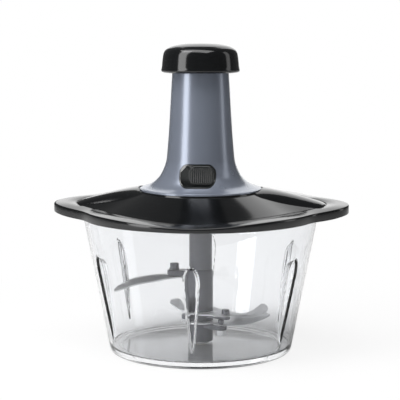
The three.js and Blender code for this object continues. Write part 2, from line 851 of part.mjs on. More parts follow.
function makeCap() {
  const place = ([r, z]) => [r * capLipRadius, capLipHeight + z * capHeight];
  const top = capLipHeight + capHeight;
  const boss = capScrewHeadRadius + capWall;
  const ceiling = top - capWall;
  return turned([
    [0, plungerTop + runGap + capScrewRadius],
    [capScrewRadius + runGap, plungerTop + runGap + capScrewRadius],
    [capScrewRadius + runGap, plungerTop + runGap],
    [boss, plungerTop + runGap],
    [boss, ceiling],
    [capLipRadius * 0.72, ceiling - capHeight * 0.1],
    [capLipRadius * 0.9, capLipHeight + capHeight * 0.2],
    [capOpeningRadius, capLipHeight + capHeight * 0.07],
    [capOpeningRadius, capLipHeight],
    ...capOutlineShares.map(place),
    [0, top],
  ]);
}

function makePlunger() {
  const inner = plungerRadius - plungerWall;
  const body = turned([
    [inner, plungerBottom],
    [plungerRadius, plungerBottom],
    [plungerRadius, plungerFlangeBottom],
    [plungerFlangeRadius, plungerFlangeBottom],
    [plungerFlangeRadius, plungerCeiling],
    [plungerRadius, plungerTop],
    [capScrewRadius + runGap, plungerTop],
    [capScrewRadius + runGap, plungerCeiling],
    [inner, plungerCeiling],
    [inner, plungerBottom],
  ]);
  const lug = box(
    -catchStart - catchWidth, -catchStart,
    -plungerRadius - catchReach, -inner - plungerWall / 2,
    catchBottom, catchTop,
  );
  return unite(body, lug);
}

function makeCapScrew() {
  const under = plungerCeiling - runGap;
  return turned([
    [0, under - capScrewHeadHeight],
    [capScrewHeadRadius, under - capScrewHeadHeight],
    [capScrewHeadRadius, under],
    [capScrewRadius, under],
    [capScrewRadius, plungerTop + capScrewRadius],
    [0, plungerTop + capScrewRadius],
  ], smallSteps);
}

// Four-lobed section of the twisted rod, larger all round by a gap
function rodShape(gap) {
  const lobeSteps = 12;
  const points = [];
  for (let i = 0; i < lobeSteps; i++) {
    const angle = (i * 2 * Math.PI) / lobeSteps;
    const lobeShare = (1 + Math.cos(4 * angle)) / 2;
    const r = THREE.MathUtils.lerp(rodWaist, rodRadius, lobeShare) + gap;
    points.push(new THREE.Vector2(r * Math.cos(angle), r * Math.sin(angle)));
  }
  return points;
}

// Turns every point about Z by its height, one turn to a lead
function twisted(geometry) {
  const p = geometry.attributes.position;
  const at = new THREE.Vector3();
  const axis = new THREE.Vector3(0, 0, 1);
  for (let i = 0; i < p.count; i++) {
    at.fromBufferAttribute(p, i).applyAxisAngle(axis, (-2 * Math.PI * p.getZ(i)) / rodLead);
    p.setXYZ(i, at.x, at.y, at.z);
  }
  return geometry;
}

function twistedBar(gap, bottom, top) {
  const stepShare = 1 / 12;
  const steps = Math.max(2, Math.round((top - bottom) / (rodLead * stepShare)));
  const made = new THREE.ExtrudeGeometry(new THREE.Shape(rodShape(gap)), {
    depth: top - bottom,
    steps,
    bevelEnabled: false,
  });
  return twisted(made.translate(0, 0, bottom));
}

function makeRod() {
  const collarTop = rodCollarBottom + rodCollarThickness;
  const lower = turned([
    [0, rodEndHeight],
    [rodJournalRadius, rodEndHeight],
    [rodJournalRadius, rodCollarBottom],
    [rodCollarRadius, rodCollarBottom],
    [rodCollarRadius, collarTop],
    [0, collarTop],
  ], smallSteps);
  return unite(twistedBar(0, collarTop - runGap, rodTop), lower);
}

function makeNut() {
  const outer = plungerRadius - plungerWall - runGap;
  const bottom = plungerBottom + runGap;
  const blank = disc(outer, bottom, bottom + nutThickness);
  return cut(blank, twistedBar(nutGap, bottom - cutOverrun, bottom + nutThickness + cutOverrun));
}

function makeSpringSeat() {
  const bottom = rodTop + runGap;
  return turned([
    [0, bottom],
    [seatRadius, bottom],
    [seatRadius, bottom + seatThickness],
    [seatPilotRadius, bottom + seatThickness],
    [seatPilotRadius - runGap, bottom + seatThickness + seatPilotHeight],
    [0, bottom + seatThickness + seatPilotHeight],
  ], smallSteps);
}

// One unbroken coil of round wire between two heights
function coil(name, coilRadius, wireRadius, turns, bottom, top) {
  const stepsPerTurn = 8;
  const sides = 5;
  const low = bottom + wireRadius;
  const rise = (top - bottom - 2 * wireRadius) / turns;
  const rows = [];
  const centres = [];
  for (let i = 0; i <= turns * stepsPerTurn; i++) {
    const angle = (i * 2 * Math.PI) / stepsPerTurn;
    const outward = new THREE.Vector3(Math.cos(angle), Math.sin(angle), 0);
    const centre = outward.clone().multiplyScalar(coilRadius).setZ(low + (i / stepsPerTurn) * rise);
    centres.push(centre);
    const row = [];
    for (let j = 0; j < sides; j++) {
      const turn = (j * 2 * Math.PI) / sides;
      const point = centre.clone().addScaledVector(outward, wireRadius * Math.cos(turn));
      row.push(point.setZ(centre.z + wireRadius * Math.sin(turn)));
    }
    rows.push(row);
  }
  console.log(name + " least gap to itself " + leastGap(centres, stepsPerTurn, wireRadius).toFixed(2));
  return skinned(rows.map((row) => row.reverse()), false);
}

// Least distance between turns of a coil, measured on its centre points
function leastGap(centres, stepsPerTurn, wireRadius) {
  let least = Infinity;
  for (let i = 0; i < centres.length; i++) {
    for (let j = i + stepsPerTurn / 2; j < centres.length; j++) {
      least = Math.min(least, centres[i].distanceTo(centres[j]) - 2 * wireRadius);
    }
  }
  return least;
}

// A disc with ratchet teeth on one face
function toothedPlate(inner, outer, flat, toothRoot, facingUp) {
  const stepsPerTooth = 3;
  const count = clutchToothCount * stepsPerTooth;
  const angles = Array.from({ length: count }, (_, i) => (i * 2 * Math.PI) / count);
  const heightAt = (angle) => {
    const step = Math.round((angle * count) / (2 * Math.PI)) % stepsPerTooth;
    return toothRoot + clutchToothHeight * Math.min(1, step / (stepsPerTooth - 1));
  };
  const outlineAt = (angle) => {
    const tooth = heightAt(angle);
    return facingUp
      ? [[inner, flat], [outer, flat], [outer, tooth], [inner, tooth]]
      : [[inner, tooth], [outer, tooth], [outer, flat], [inner, flat]];
  };
  return swept(angles, outlineAt, true);
}

function makeClutchDriver() {
  const root = outputPlateTop + clutchGap;
  const flat = root + clutchToothHeight + clutchPlateThickness;
  return toothedPlate(rodJournalRadius + runGap, clutchRadius, flat, root, false);
}

// Output coupling: ratchet face, round shaft through the bush and a hexagon below
function makeOutput() {
  const bottom = outputBushTop + runGap;
  const plate = toothedPlate(rodJournalRadius + 2 * runGap, clutchRadius, bottom, outputPlateTop, true);
  const shaft = disc(outputShaftRadius, cupFloorHeight - outputSealThickness - runGap,
    rodEndHeight - runGap, smallSteps);
  const hexagon = disc(outputHexRadius, outputHexBottom, cupFloorHeight, 6);
  return unite(plate, shaft, hexagon);
}

function makeHubCup() {
  const inner = cupRadius - cupWall;
  const bore = outputBushRadius + runGap;
  const floorTop = outputBushTop - cupWall / 2;
  const body = turned([
    [bore, cupFloorHeight],
    [cupRadius, cupFloorHeight],
    [cupRadius, cupTop - cupFlangeThickness],
    [cupFlangeRadius, cupTop - cupFlangeThickness],
    [cupFlangeRadius, cupTop],
    [inner, cupTop],
    [inner, floorTop],
    [bore, floorTop],
    [bore, cupFloorHeight],
  ]);
  const pads = screwPlaces().map(([x, y]) =>
    disc(screwHeadRadius + cupPadMargin, cupTop - cupFlangeThickness, cupTop, smallSteps)
      .translate(x, y, 0),
  );
  const holes = screwPlaces().map((p) => screwHole(p, cupTop - cupFlangeThickness, cupTop));
  return cut(unite(body, ...pads), ...holes);
}

// Blade sleeve with a lug for each blade arm
function makeSleeve() {
  const bore = stemSpigotRadius + runGap;
  const boreBottom = stemSleeveTop - stemSpigotDepth - runGap;
  const bushBore = pinRadius + runGap + stemBushWall + runGap;
  const bushTop = sleeveFoot + stemBushLength + runGap;
  const tube = turned([
    [0, bushTop],
    [bushBore, bushTop],
    [bushBore, sleeveFoot],
    [stemSleeveRadius, sleeveFoot],
    [stemSleeveRadius, stemSleeveTop - stemChamfer],
    [stemSleeveRadius - stemChamfer / 2, stemSleeveTop],
    [bore, stemSleeveTop],
    [bore, boreBottom],
    [0, boreBottom],
  ], smallSteps * 1.6);
  const lugs = bladeArms().map((arm) => makeLug(arm, stemSleeveRadius - lugThickness / 2));
  return cut(unite(tube, ...lugs), ...bladeArms().map(pegHole));
}

// A lug: a flat tongue with a round end, under or over its blade
function makeLug(arm, innerReach) {
  const shape = new THREE.Shape();
  shape.moveTo(innerReach, -lugHalfWidth * 0.9);
  shape.absarc(arm.lugReach, 0, lugHalfWidth * arm.lugShare, -Math.PI / 2, Math.PI / 2, false);
  shape.lineTo(innerReach, lugHalfWidth * 0.9);
  const made = new THREE.ExtrudeGeometry(shape, {
    depth: lugThickness * arm.lugShare,
    bevelEnabled: false,
    curveSegments: 6,
  });
  return made.translate(0, 0, lugBottomOf(arm)).rotateZ(toRad(arm.angle));
}

// The four arms of the blade set. A lug lies over its blade or under it.
function bladeArms() {
  return [
    {
      angle: upperBladeAngle, height: upperBladeHeight, lugReach: upperLugReach, lugOver: true,
      lugShare: 0.95, pegRadius: upperPegRadius, pegHeight: upperPegHeight, footShare: 1.3,
      shankBelow: pegShankEnd, seatRise: 0,
    },
    {
      angle: middleLugAngle, height: middleBladeHeight, lugReach: middleLugReach, lugOver: false,
      lugShare: 0.62, pegRadius: smallPegRadius * 1.3, pegHeight: pegHeadHeight, footShare: 1.1,
      shankBelow: -pegShankEnd, seatRise: 0,
    },
    {
      angle: lowerLugAngle, height: lowerBladeHeight, lugReach: lowerLugReach, lugOver: false,
      lugShare: 0.8, pegRadius: smallPegRadius, pegHeight: smallPegHeight * 0.55, footShare: 1,
      shankBelow: pegNutHeight + pegShankEnd, seatRise: 0,
    },
    {
      angle: tailLugAngle, height: middleBladeHeight, lugReach: tailLugReach, lugOver: false,
      lugShare: 0.8, pegRadius: smallPegRadius, pegHeight: smallPegHeight * 1.5, footShare: 1.2,
      shankBelow: -pegShankEnd, seatRise: tailSeatRise,
    },
  ];
}

// A peg: a head on the lug or the blade, with a wider foot, and a shank down through both
function makePeg(arm) {
  const seat = pegSeatOf(arm);
  const top = seat + arm.pegHeight;
  const round = arm.pegRadius * 0.25;
  const foot = arm.pegRadius * arm.footShare;
  const footHeight = arm.pegHeight * 0.3;
  return turned([
    [0, stackBottomOf(arm) - arm.shankBelow],
    [pegShankRadius, stackBottomOf(arm) - arm.shankBelow],
    [pegShankRadius, seat],
    [foot, seat],
    [arm.pegRadius, seat + footHeight],
    [arm.pegRadius, top - round],
    [arm.pegRadius - round, top],
    [0, top],
  ], smallSteps).translate(arm.lugReach, 0, 0).rotateZ(toRad(arm.angle));
}

// Nut on the lower peg's shank, under its lug
function makeNutUnder(arm) {
  const top = lugBottomOf(arm) - runGap;
  const made = ring(pegShankRadius + runGap, pegNutRadius, top - pegNutHeight, top, 6);
  return made.translate(arm.lugReach, 0, 0).rotateZ(toRad(arm.angle));
}

const bladeTopOf = (arm) => arm.height + bladeThickness / 2;
const bladeBottomOf = (arm) => arm.height - bladeThickness / 2;
const lugTopOf = (arm) => lugBottomOf(arm) + lugThickness * arm.lugShare;
const lugBottomOf = (arm) =>
  arm.lugOver ? bladeTopOf(arm) + runGap : bladeBottomOf(arm) - runGap - lugThickness * arm.lugShare;
const pegSeatOf = (arm) => (arm.lugOver ? lugTopOf(arm) : bladeTopOf(arm)) + runGap + arm.seatRise;
const stackBottomOf = (arm) => (arm.lugOver ? bladeBottomOf(arm) : lugBottomOf(arm));

// A blade arm along X from a table whose rows are shares of its reach:
// [distance out, leading edge, trailing edge, rise of the leading edge, rise of the trailing edge]
function bladeArm(tableShares, reach, height) {
  const bevelShare = 0.3;
  const thin = bladeThickness / 4;
  const rows = tableShares.map((row) => {
    const [x, lead, trail, leadRise, trailRise] = row.map((share) => share * reach);
    const front = new THREE.Vector3(x, lead, height + leadRise);
    const back = new THREE.Vector3(x, trail, height + trailRise);
    const bevel = front.clone().lerp(back, bevelShare);
    const at = (point, rise) => point.clone().setZ(point.z + rise);
    return [
      at(front, -bladeThickness / 2),
      at(back, -bladeThickness / 2),
      at(back, bladeThickness / 2),
      at(bevel, bladeThickness / 2),
      at(front, thin - bladeThickness / 2),
    ];
  });
  return skinned(rows, false);
}

// Hub plate of a blade: a ring round the sleeve
function bladeHub(height) {
  const inner = stemSleeveRadius + runGap;
  return ring(inner, inner + bladeHubWidth, height - bladeThickness / 2, height + bladeThickness / 2, 24);
}

function pegHole(arm) {
  const bottom = stackBottomOf(arm) - cutOverrun / 4;
  const made = disc(pegShankRadius + runGap, bottom, pegSeatOf(arm) + runGap, smallSteps);
  return made.translate(arm.lugReach, 0, 0).rotateZ(toRad(arm.angle));
}

// Room for the sleeve in a blade
function sleeveRoom(height) {
  return disc(stemSleeveRadius + runGap, height - cutOverrun, height + 3 * cutOverrun, 24);
}

function makeUpperBlade(arm) {
  const made = bladeArm(upperBladeShares, upperBladeReach, arm.height);
  return cut(made.rotateZ(toRad(upperBladeAngle)), sleeveRoom(arm.height), pegHole(arm));
}

function makeMiddleBlade(arm, tail) {
  const front = bladeArm(middleBladeShares, middleBladeReach, arm.height);
  const back = bladeArm(tailShares, tailReach, arm.height).rotateZ(toRad(tailAngle));
  const joined = unite(front, back, bladeHub(arm.height));
  return cut(joined, sleeveRoom(arm.height), pegHole(arm), pegHole(tail));
}

function makeLowerBlade(arm) {
  const made = bladeArm(lowerBladeShares, lowerBladeReach, arm.height);
  return cut(unite(made, bladeHub(arm.height)), sleeveRoom(arm.height), pegHole(arm));
}

function makeStemTube() {
  const bottom = stemSleeveTop - stemSpigotDepth;
  const shoulder = stemSleeveTop + runGap;
  const body = turned([
    [0, bottom],
    [stemSpigotRadius, bottom],
    [stemSpigotRadius, shoulder],
    [stemTubeRadius, shoulder],
    [stemTubeRadius, stemTubeTop - stemChamfer / 2],
    [stemTubeRadius - stemChamfer / 2, stemTubeTop],
    [0, stemTubeTop],
  ], smallSteps * 1.6);
  return cut(body, disc(stemTubeInnerRadius, stemTubeTop - stemSocketDepth, stemTubeTop + cutOverrun, 6));
}

function makeStemBush() {
  const inner = pinRadius + runGap;
  return ring(inner, inner + stemBushWall, sleeveFoot + runGap, sleeveFoot + stemBushLength, smallSteps);
}

// Lock button: a ribbed rounded block in the recess, with a neck through the slot
function makeLockButton() {
  const length = trayInnerLength - lockTravel - 2 * runGap;
  const height = trayInnerHeight - 2 * runGap;
  const centreX = trayInnerLength / 2 - runGap - length / 2;
  const corner = recessCorner - trayWall - runGap;
  const block = roundBar(length, height, corner, trayFront + runGap, lockButtonFace, centreX);
  const neck = box(
    latchTongueStart,
    latchTongueStart + lockNeckWidth,
    -trayFront - 2 * runGap,
    -recessFloorDepth + recessBackWall + runGap,
    recessCentreHeight - recessSlotHeight / 2 + runGap,
    recessCentreHeight + recessSlotHeight / 2 - runGap,
  );
  const pitch = (length * 0.84) / lockRibCount;
  const grooves = [];
  for (let k = 0; k <= lockRibCount; k++) {
    const x = centreX + (k - lockRibCount / 2) * pitch;
    grooves.push(box(
      x - pitch * 0.2, x + pitch * 0.2,
      -lockButtonFace - cutOverrun, -lockButtonFace + lockRibDepth,
      recessCentreHeight - height * 0.42, recessCentreHeight + height * 0.42,
    ));
  }
  return cut(unite(block, neck), ...grooves);
}

// Latch bar behind the recess wall, whose tongue slides over the plunger's catch
function makeLatchBar() {
  const front = recessFloorDepth - recessBackWall - 2 * runGap;
  const back = front - latchPlateThickness;
  const left = latchTongueStart + lockNeckWidth / 2 - latchPlateWidth / 2;
  const plate = box(
    left, left + latchPlateWidth, -front, -back,
    recessCentreHeight - latchPlateHeight / 2, recessCentreHeight + latchPlateHeight / 2,
  );
  const tongue = box(
    latchTongueStart, latchTongueStart + latchTongueWidth,
    -back - latchPlateThickness / 2, -sleeveInner,
    tongueBottom, tongueBottom + latchTongueThickness,
  );
  return unite(plate, tongue);
}

function makeLatchScrew() {
  const back = recessFloorDepth - recessBackWall - 2 * runGap - latchPlateThickness;
  const made = disc(latchScrewHead, 0, latchScrewHeadHeight, smallSteps);
  const x = latchTongueStart + lockNeckWidth / 2;
  return made.rotateX(-Math.PI / 2).translate(x, -back + runGap, recessCentreHeight);
}

function makeClutchSpring() {
  const bottom = outputPlateTop + clutchGap + clutchToothHeight + clutchPlateThickness + runGap;
  return coil("clutch_spring", clutchSpringRadius, clutchSpringWireRadius, clutchSpringTurns,
    bottom, basePlateBottom - runGap);
}

function makeReturnSpring() {
  return coil("return_spring", springCoilRadius, springWireRadius, springTurns,
    rodTop + 2 * runGap + seatThickness, plungerCeiling - runGap);
}

function makeCirclip() {
  const bottom = outputPlateTop + clutchGap + clutchToothHeight + clutchPlateThickness + runGap;
  return ring(rodJournalRadius + runGap, circlipRadius, bottom, bottom + circlipThickness, smallSteps);
}

function makeOutputBush() {
  return ring(outputShaftRadius + runGap, outputBushRadius, cupFloorHeight, outputBushTop, 28);
}

function makeOutputSeal() {
  const top = cupFloorHeight - runGap;
  return ring(outputShaftRadius + runGap, outputSealRadius, top - outputSealThickness, top, 28);
}

const chopper = new THREE.Group();

function place(name, geometry, finish) {
  const mesh = new THREE.Mesh(geometry, new THREE.MeshStandardMaterial(finishes[finish]));
  mesh.name = name;
  chopper.add(mesh);
}

const [upperArm, middleArm, lowerArm, tailArm] = bladeArms();
place("bowl", makeBowl(), "clear");
place("centre_pin", makeCentrePin(), "steel");
place("lid", makeLid(), "black");
place("lid_seal", makeLidSeal(), "silicone");
place("tower_shell", makeTower(), "tower");
place("guide_sleeve", makeGuideSleeve(), "nylon");
place("guide_bush", makeGuideBush(), "black");
place("base_plate", makeBasePlate(), "stem");
place("rod_bush", makeRodBush(), "brass");
place("hub_cup", makeHubCup(), "black");
place("output_bush", makeOutputBush(), "brass");
place("output_seal", makeOutputSeal(), "silicone");
screwPlaces().forEach((p, k) => place("tower_screw_" + (k + 1), makeTowerScrew(p), "steel"));
place("push_cap", makeCap(), "black");
place("plunger_tube", makePlunger(), "tower");
place("drive_nut", makeNut(), "nylon");
place("cap_screw", makeCapScrew(), "steel");
place("return_spring", makeReturnSpring(), "steel");
place("drive_rod", makeRod(), "steel");
place("spring_seat", makeSpringSeat(), "nylon");
place("clutch_driver", makeClutchDriver(), "nylon");
place("clutch_spring", makeClutchSpring(), "steel");
place("rod_circlip", makeCirclip(), "steel");
place("output_coupling", makeOutput(), "stem");
place("lock_tray", makeLockTray(), "black");
place("lock_button", makeLockButton(), "black");
place("latch_bar", makeLatchBar(), "nylon");
place("latch_screw", makeLatchScrew(), "steel");
place("stem_tube", makeStemTube(), "stem");
place("blade_sleeve", makeSleeve(), "stem");
place("stem_bush", makeStemBush(), "brass");
place("upper_blade", makeUpperBlade(upperArm), "steel");
place("middle_blade", makeMiddleBlade(middleArm, tailArm), "steel");
place("lower_blade", makeLowerBlade(lowerArm), "steel");
place("upper_peg", makePeg(upperArm), "stem");
place("middle_peg", makePeg(middleArm), "stem");
place("lower_peg", makePeg(lowerArm), "stem");
place("lower_nut", makeNutUnder(lowerArm), "steel");
place("tail_peg", makePeg(tailArm), "stem");

export default chopper;
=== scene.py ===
"""Vegetable chopper with a push cap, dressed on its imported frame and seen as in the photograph."""

from __future__ import annotations

import logging
import math
from dataclasses import dataclass
from enum import Enum
from typing import Any, Callable, Mapping, Sequence

import bmesh
import bpy
import numpy as np
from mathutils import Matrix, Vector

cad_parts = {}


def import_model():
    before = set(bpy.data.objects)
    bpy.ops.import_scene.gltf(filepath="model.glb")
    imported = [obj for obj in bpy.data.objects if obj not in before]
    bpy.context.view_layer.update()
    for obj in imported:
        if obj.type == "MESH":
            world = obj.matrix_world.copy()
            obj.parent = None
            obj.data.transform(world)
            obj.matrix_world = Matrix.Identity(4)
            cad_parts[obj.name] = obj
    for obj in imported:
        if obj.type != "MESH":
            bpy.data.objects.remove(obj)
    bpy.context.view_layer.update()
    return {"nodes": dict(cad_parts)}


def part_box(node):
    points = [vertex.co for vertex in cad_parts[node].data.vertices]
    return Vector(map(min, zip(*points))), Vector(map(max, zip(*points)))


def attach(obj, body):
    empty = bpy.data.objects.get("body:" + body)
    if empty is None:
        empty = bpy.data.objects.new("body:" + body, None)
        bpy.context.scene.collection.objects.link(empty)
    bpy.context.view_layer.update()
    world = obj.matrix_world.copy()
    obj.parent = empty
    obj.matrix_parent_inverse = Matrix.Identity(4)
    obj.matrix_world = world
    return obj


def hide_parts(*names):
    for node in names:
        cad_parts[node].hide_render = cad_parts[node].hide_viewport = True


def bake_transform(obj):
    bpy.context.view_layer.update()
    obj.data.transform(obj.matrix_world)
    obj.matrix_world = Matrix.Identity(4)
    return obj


MM = 0.001
TINY = 1e-9
MERGE = 1e-6
SHARP = 32.0
SIDE_SHARE = 0.45
Mesh = bpy.types.Mesh
Colour = tuple[float, float, float]
Outline = np.ndarray | Sequence[Sequence[float]]
Inputs = Mapping[Any, Any]
log = logging.getLogger("chopper")


class Slot(Enum):
    """The record's material slots."""

    CLEAR = "clear"
    BLACK = "black"
    TOWER = "tower"
    STEM = "stem"
    STEEL = "steel"
    BRASS = "brass"
    NYLON = "nylon"
    SILICONE = "silicone"


class Body(Enum):
    """The bodies that the pieces ride on."""

    BOWL = "bowl_body"
    BLADES = "blade_set"
    LID = "lid_body"
    PLUNGER = "plunger"
    ROD = "rod"
    LOCK = "lock"


# Shader expressions


def maths(operation: str, swapped: bool = False) -> Callable[["Sock", Any], "Sock"]:
    """A method that joins a shader value and another value or number by a Math node.

    Args:
        operation: the node's operation.
        swapped: the other value comes first.

    Returns:
        The method.
    """

    def method(self: "Sock", other: Any) -> "Sock":
        """The operation's result."""
        first, second = (other, self) if swapped else (self, other)
        return self.graph.value("ShaderNodeMath", 0, {0: first, 1: second}, operation=operation)

    return method


@dataclass(frozen=True, eq=False)
class Sock:
    """A value inside a shader, which can be added, scaled and so on like a number."""

    graph: "Graph"
    out: bpy.types.NodeSocket

    __add__, __radd__ = maths("ADD"), maths("ADD", True)
    __sub__, __rsub__ = maths("SUBTRACT"), maths("SUBTRACT", True)
    __mul__, __rmul__ = maths("MULTIPLY"), maths("MULTIPLY", True)
    __truediv__ = maths("DIVIDE")
    least, most = maths("MINIMUM"), maths("MAXIMUM")


class Graph:
    """The nodes of one material or of the world."""

    def __init__(self, owner: bpy.types.Material | bpy.types.World) -> None:
        """Starts with an empty tree.

        Args:
            owner: whose nodes these are.
        """
        owner.use_nodes = True
        self.tree = owner.node_tree
        self.tree.nodes.clear()

    def node(self, kind: str, inputs: Inputs | None = None, **settings: str) -> bpy.types.Node:
        """Adds one node.

        Args:
            kind: the node's type.
            inputs: values or links by socket name or number.
            settings: its properties, which are set first.

        Returns:
            The node.
        """
        made = self.tree.nodes.new(kind)
        for key, value in settings.items():
            setattr(made, key, value)
        for key, value in (inputs or {}).items():
            if isinstance(value, Sock):
                self.tree.links.new(made.inputs[key], value.out)
            else:
                made.inputs[key].default_value = value
        return made

    def value(self, kind: str, output: str | int, inputs: Inputs | None = None, **settings: str) -> Sock:
        """Adds one node and reads one of its outputs.

        Args:
            kind: the node's type.
            output: the output's name or number.
            inputs: values or links by socket name or number.
            settings: the node's properties.

        Returns:
            The output.
        """
        return Sock(self, self.node(kind, inputs, **settings).outputs[output])

    def place(self, scale: Sequence[float] = (1, 1, 1)) -> Sock:
        """Object coordinates, scaled along each axis."""
        at = self.value("ShaderNodeTexCoord", "Object")
        return self.value("ShaderNodeMapping", 0, {"Vector": at, "Scale": scale})

    def axes(self) -> tuple[Sock, Sock]:
        """X and Y of the object coordinates, or of the way that a ray goes in the world."""
        way = self.node("ShaderNodeSeparateXYZ", {0: self.place()})
        return Sock(self, way.outputs["X"]), Sock(self, way.outputs["Y"])

    def noise(self, at: Sock, scale: float, detail: float = 2.0) -> Sock:
        """Soft noise from 0 to 1.

        Args:
            at: where it is read.
            scale: spots per metre.
            detail: finer layers.

        Returns:
            The noise value.
        """
        return self.value("ShaderNodeTexNoise", 0, {"Vector": at, "Scale": scale, "Detail": detail})

    def blend(self, share: Sock, first: Colour, second: Colour) -> Sock:
        """A colour between two: the first where the share is 0, the second where it is 1."""
        inputs = {0: share, 6: (*first, 1.0), 7: (*second, 1.0)}
        return self.value("ShaderNodeMix", 2, inputs, data_type="RGBA")

    def bump(self, height: Sock, strength: float, distance: float) -> Sock:
        """A normal from a height.

        Args:
            height: from 0 to 1.
            strength: share of the effect.
            distance: depth in metres.

        Returns:
            The normal.
        """
        inputs = {"Height": height, "Strength": strength, "Distance": distance}
        return self.value("ShaderNodeBump", 0, inputs)

    def rays(self, kind: str) -> Sock:
        """1 for rays of one kind, such as Camera, and 0 for all others."""
        return self.value("ShaderNodeLightPath", f"Is {kind} Ray")

    def surface(self, kind: str, inputs: Inputs, end: str = "ShaderNodeOutputMaterial") -> None:
        """Ends the graph with one shader.

        Args:
            kind: the shader's type.
            inputs: its values or links.
            end: type of the output node.
        """
        self.node(end, {"Surface": self.value(kind, 0, inputs)})


# Finishes


@dataclass(frozen=True)
class Finish:
    """What all finishes have."""

    name: str
    colour: Colour
    roughness: float

    def sockets(self, graph: Graph) -> Inputs:
        """The Principled shader's values and links.

        Args:
            graph: where the nodes go.

        Returns:
            Values or links by socket name.
        """
        raise NotImplementedError

    def material(self) -> bpy.types.Material:
        """Makes the material."""
        made = bpy.data.materials.new(self.name)
        graph = Graph(made)
        graph.surface("ShaderNodeBsdfPrincipled", self.sockets(graph))
        return made


@dataclass(frozen=True)
class Moulded(Finish):
    """Moulded plastic or rubber: faint mottling, fine skin texture and a gloss."""

    shine: float = 0.5
    coat: float = 0.0
    mottle: float = 0.06
    metallic: float = 0.0
    coat_roughness: float = 0.04
    mottle_scale: float = 40.0
    skin_scale: float = 500.0
    skin_depth: float = 0.00002
    skin_strength: float = 0.3
    roughness_span: float = 0.06

    def sockets(self, graph: Graph) -> Inputs:
        """Mottled colour and roughness, and the skin as a bump."""
        at = graph.place()
        cloud = graph.noise(at, self.mottle_scale)
        skin = graph.noise(at, self.skin_scale, 3.0)
        light = tuple(min(1.0, c * (1 + self.mottle)) for c in self.colour)
        dark = tuple(c * (1 - self.mottle) for c in self.colour)
        return {
            "Base Color": graph.blend(cloud, dark, light),
            "Roughness": self.roughness * (1 - self.roughness_span / 2 + self.roughness_span * cloud),
            "Specular IOR Level": self.shine,
            "Metallic": self.metallic,
            "Coat Weight": self.coat,
            "Coat Roughness": self.coat_roughness,
            "Normal": graph.bump(skin, self.skin_strength, self.skin_depth),
        }


@dataclass(frozen=True)
class ClearPlastic(Finish):
    """Clear moulded plastic with a faint waviness that is drawn out upwards."""

    ior: float = 1.46
    draw: float = 0.35
    wave_scale: float = 30.0
    fine_scale: float = 400.0
    wave_strength: float = 0.25
    wave_depth: float = 0.0001

    def sockets(self, graph: Graph) -> Inputs:
        """A wavy surface that lets light through, with unevenly fine roughness."""
        at = graph.place((1, 1, self.draw))
        wave = graph.noise(at, self.wave_scale, 1.0)
        paler = tuple(0.5 + 0.5 * c for c in self.colour)
        return {
            "Base Color": graph.blend(wave, self.colour, paler),
            "Roughness": self.roughness * (0.5 + graph.noise(at, self.fine_scale)),
            "Transmission Weight": 1.0,
            "IOR": self.ior,
            "Normal": graph.bump(wave, self.wave_strength, self.wave_depth),
        }


@dataclass(frozen=True)
class Metal(Finish):
    """Ground or turned metal: streaks along one way of the piece."""

    streaks: tuple[float, float, float] = (1.0, 12.0, 12.0)
    metallic: float = 1.0
    streak_scale: float = 160.0
    cloud_scale: float = 25.0
    dark_share: float = 0.86
    groove: float = 0.00003

    def sockets(self, graph: Graph) -> Inputs:
        """Streaks in colour, roughness and normal."""
        streak = graph.noise(graph.place(self.streaks), self.streak_scale, 4.0)
        cloud = graph.noise(graph.place(), self.cloud_scale)
        dark = tuple(self.dark_share * c for c in self.colour)
        return {
            "Base Color": graph.blend(streak * 0.7 + cloud * 0.3, dark, self.colour),
            "Metallic": self.metallic,
            "Roughness": self.roughness * (0.7 + 0.6 * streak),
            "Normal": graph.bump(streak, 0.2, self.groove),
        }


class Finishes:
    """Every finish of the object, made once."""

    LOOKS: dict[Slot, Finish] = {
        Slot.CLEAR: ClearPlastic("clear_plastic", (0.93, 0.94, 0.955), 0.01),
        Slot.BLACK: Moulded("black_gloss", (0.0045, 0.005, 0.0055), 0.12, 0.5, 0.0, 0.1),
        Slot.TOWER: Moulded("tower_blue_grey", (0.215, 0.24, 0.295), 0.27, 0.5, 0.25, 0.03, 0.45),
        Slot.STEM: Moulded("stem_grey", (0.1, 0.105, 0.125), 0.3, 0.6, 0.0, 0.05),
        Slot.STEEL: Metal("stainless_steel", (0.86, 0.87, 0.89), 0.35, metallic=0.35),
        Slot.BRASS: Metal("turned_brass", (0.69, 0.55, 0.3), 0.3, (12, 12, 1)),
        Slot.NYLON: Moulded("natural_nylon", (0.78, 0.78, 0.74), 0.45),
        Slot.SILICONE: Moulded("silicone", (0.62, 0.64, 0.67), 0.55, 0.4),
    }
    SATIN = Moulded("black_satin", (0.011, 0.013, 0.013), 0.2, 0.9, 0.2, 0.1)

    def __init__(self) -> None:
        """Makes one material for each slot, and the lock's satin black."""
        self.by_slot = {slot: look.material() for slot, look in self.LOOKS.items()}
        self.satin = self.SATIN.material()

    def add(
        self, name: str, mesh: Mesh, body: Body, slot: Slot, node: str, sharp: float = SHARP
    ) -> Mesh:
        """Adds a piece with its finish, its body and the CAD node that it stands for.

        Args:
            name: the piece's name.
            mesh: its mesh.
            body: what it rides on.
            slot: its finish.
            node: name of the CAD node.
            sharp: edges sharper than this many degrees stay hard.

        Returns:
            The mesh, with its finish.
        """
        piece = made_object(name, mesh, self.by_slot[slot], sharp)
        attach(piece, body.value)
        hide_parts(node)
        log.info("%s stands for %s on %s", name, node, body.value)
        return mesh

    def dress_node(self, node: bpy.types.Object, slot: Slot) -> None:
        """Gives a CAD node that is kept its finish.

        Args:
            node: the CAD object.
            slot: its finish.
        """
        if not node.data.materials:
            node.data.materials.append(self.by_slot[slot])
        for place in node.material_slots:
            place.material = self.by_slot[slot]


# Surfaces


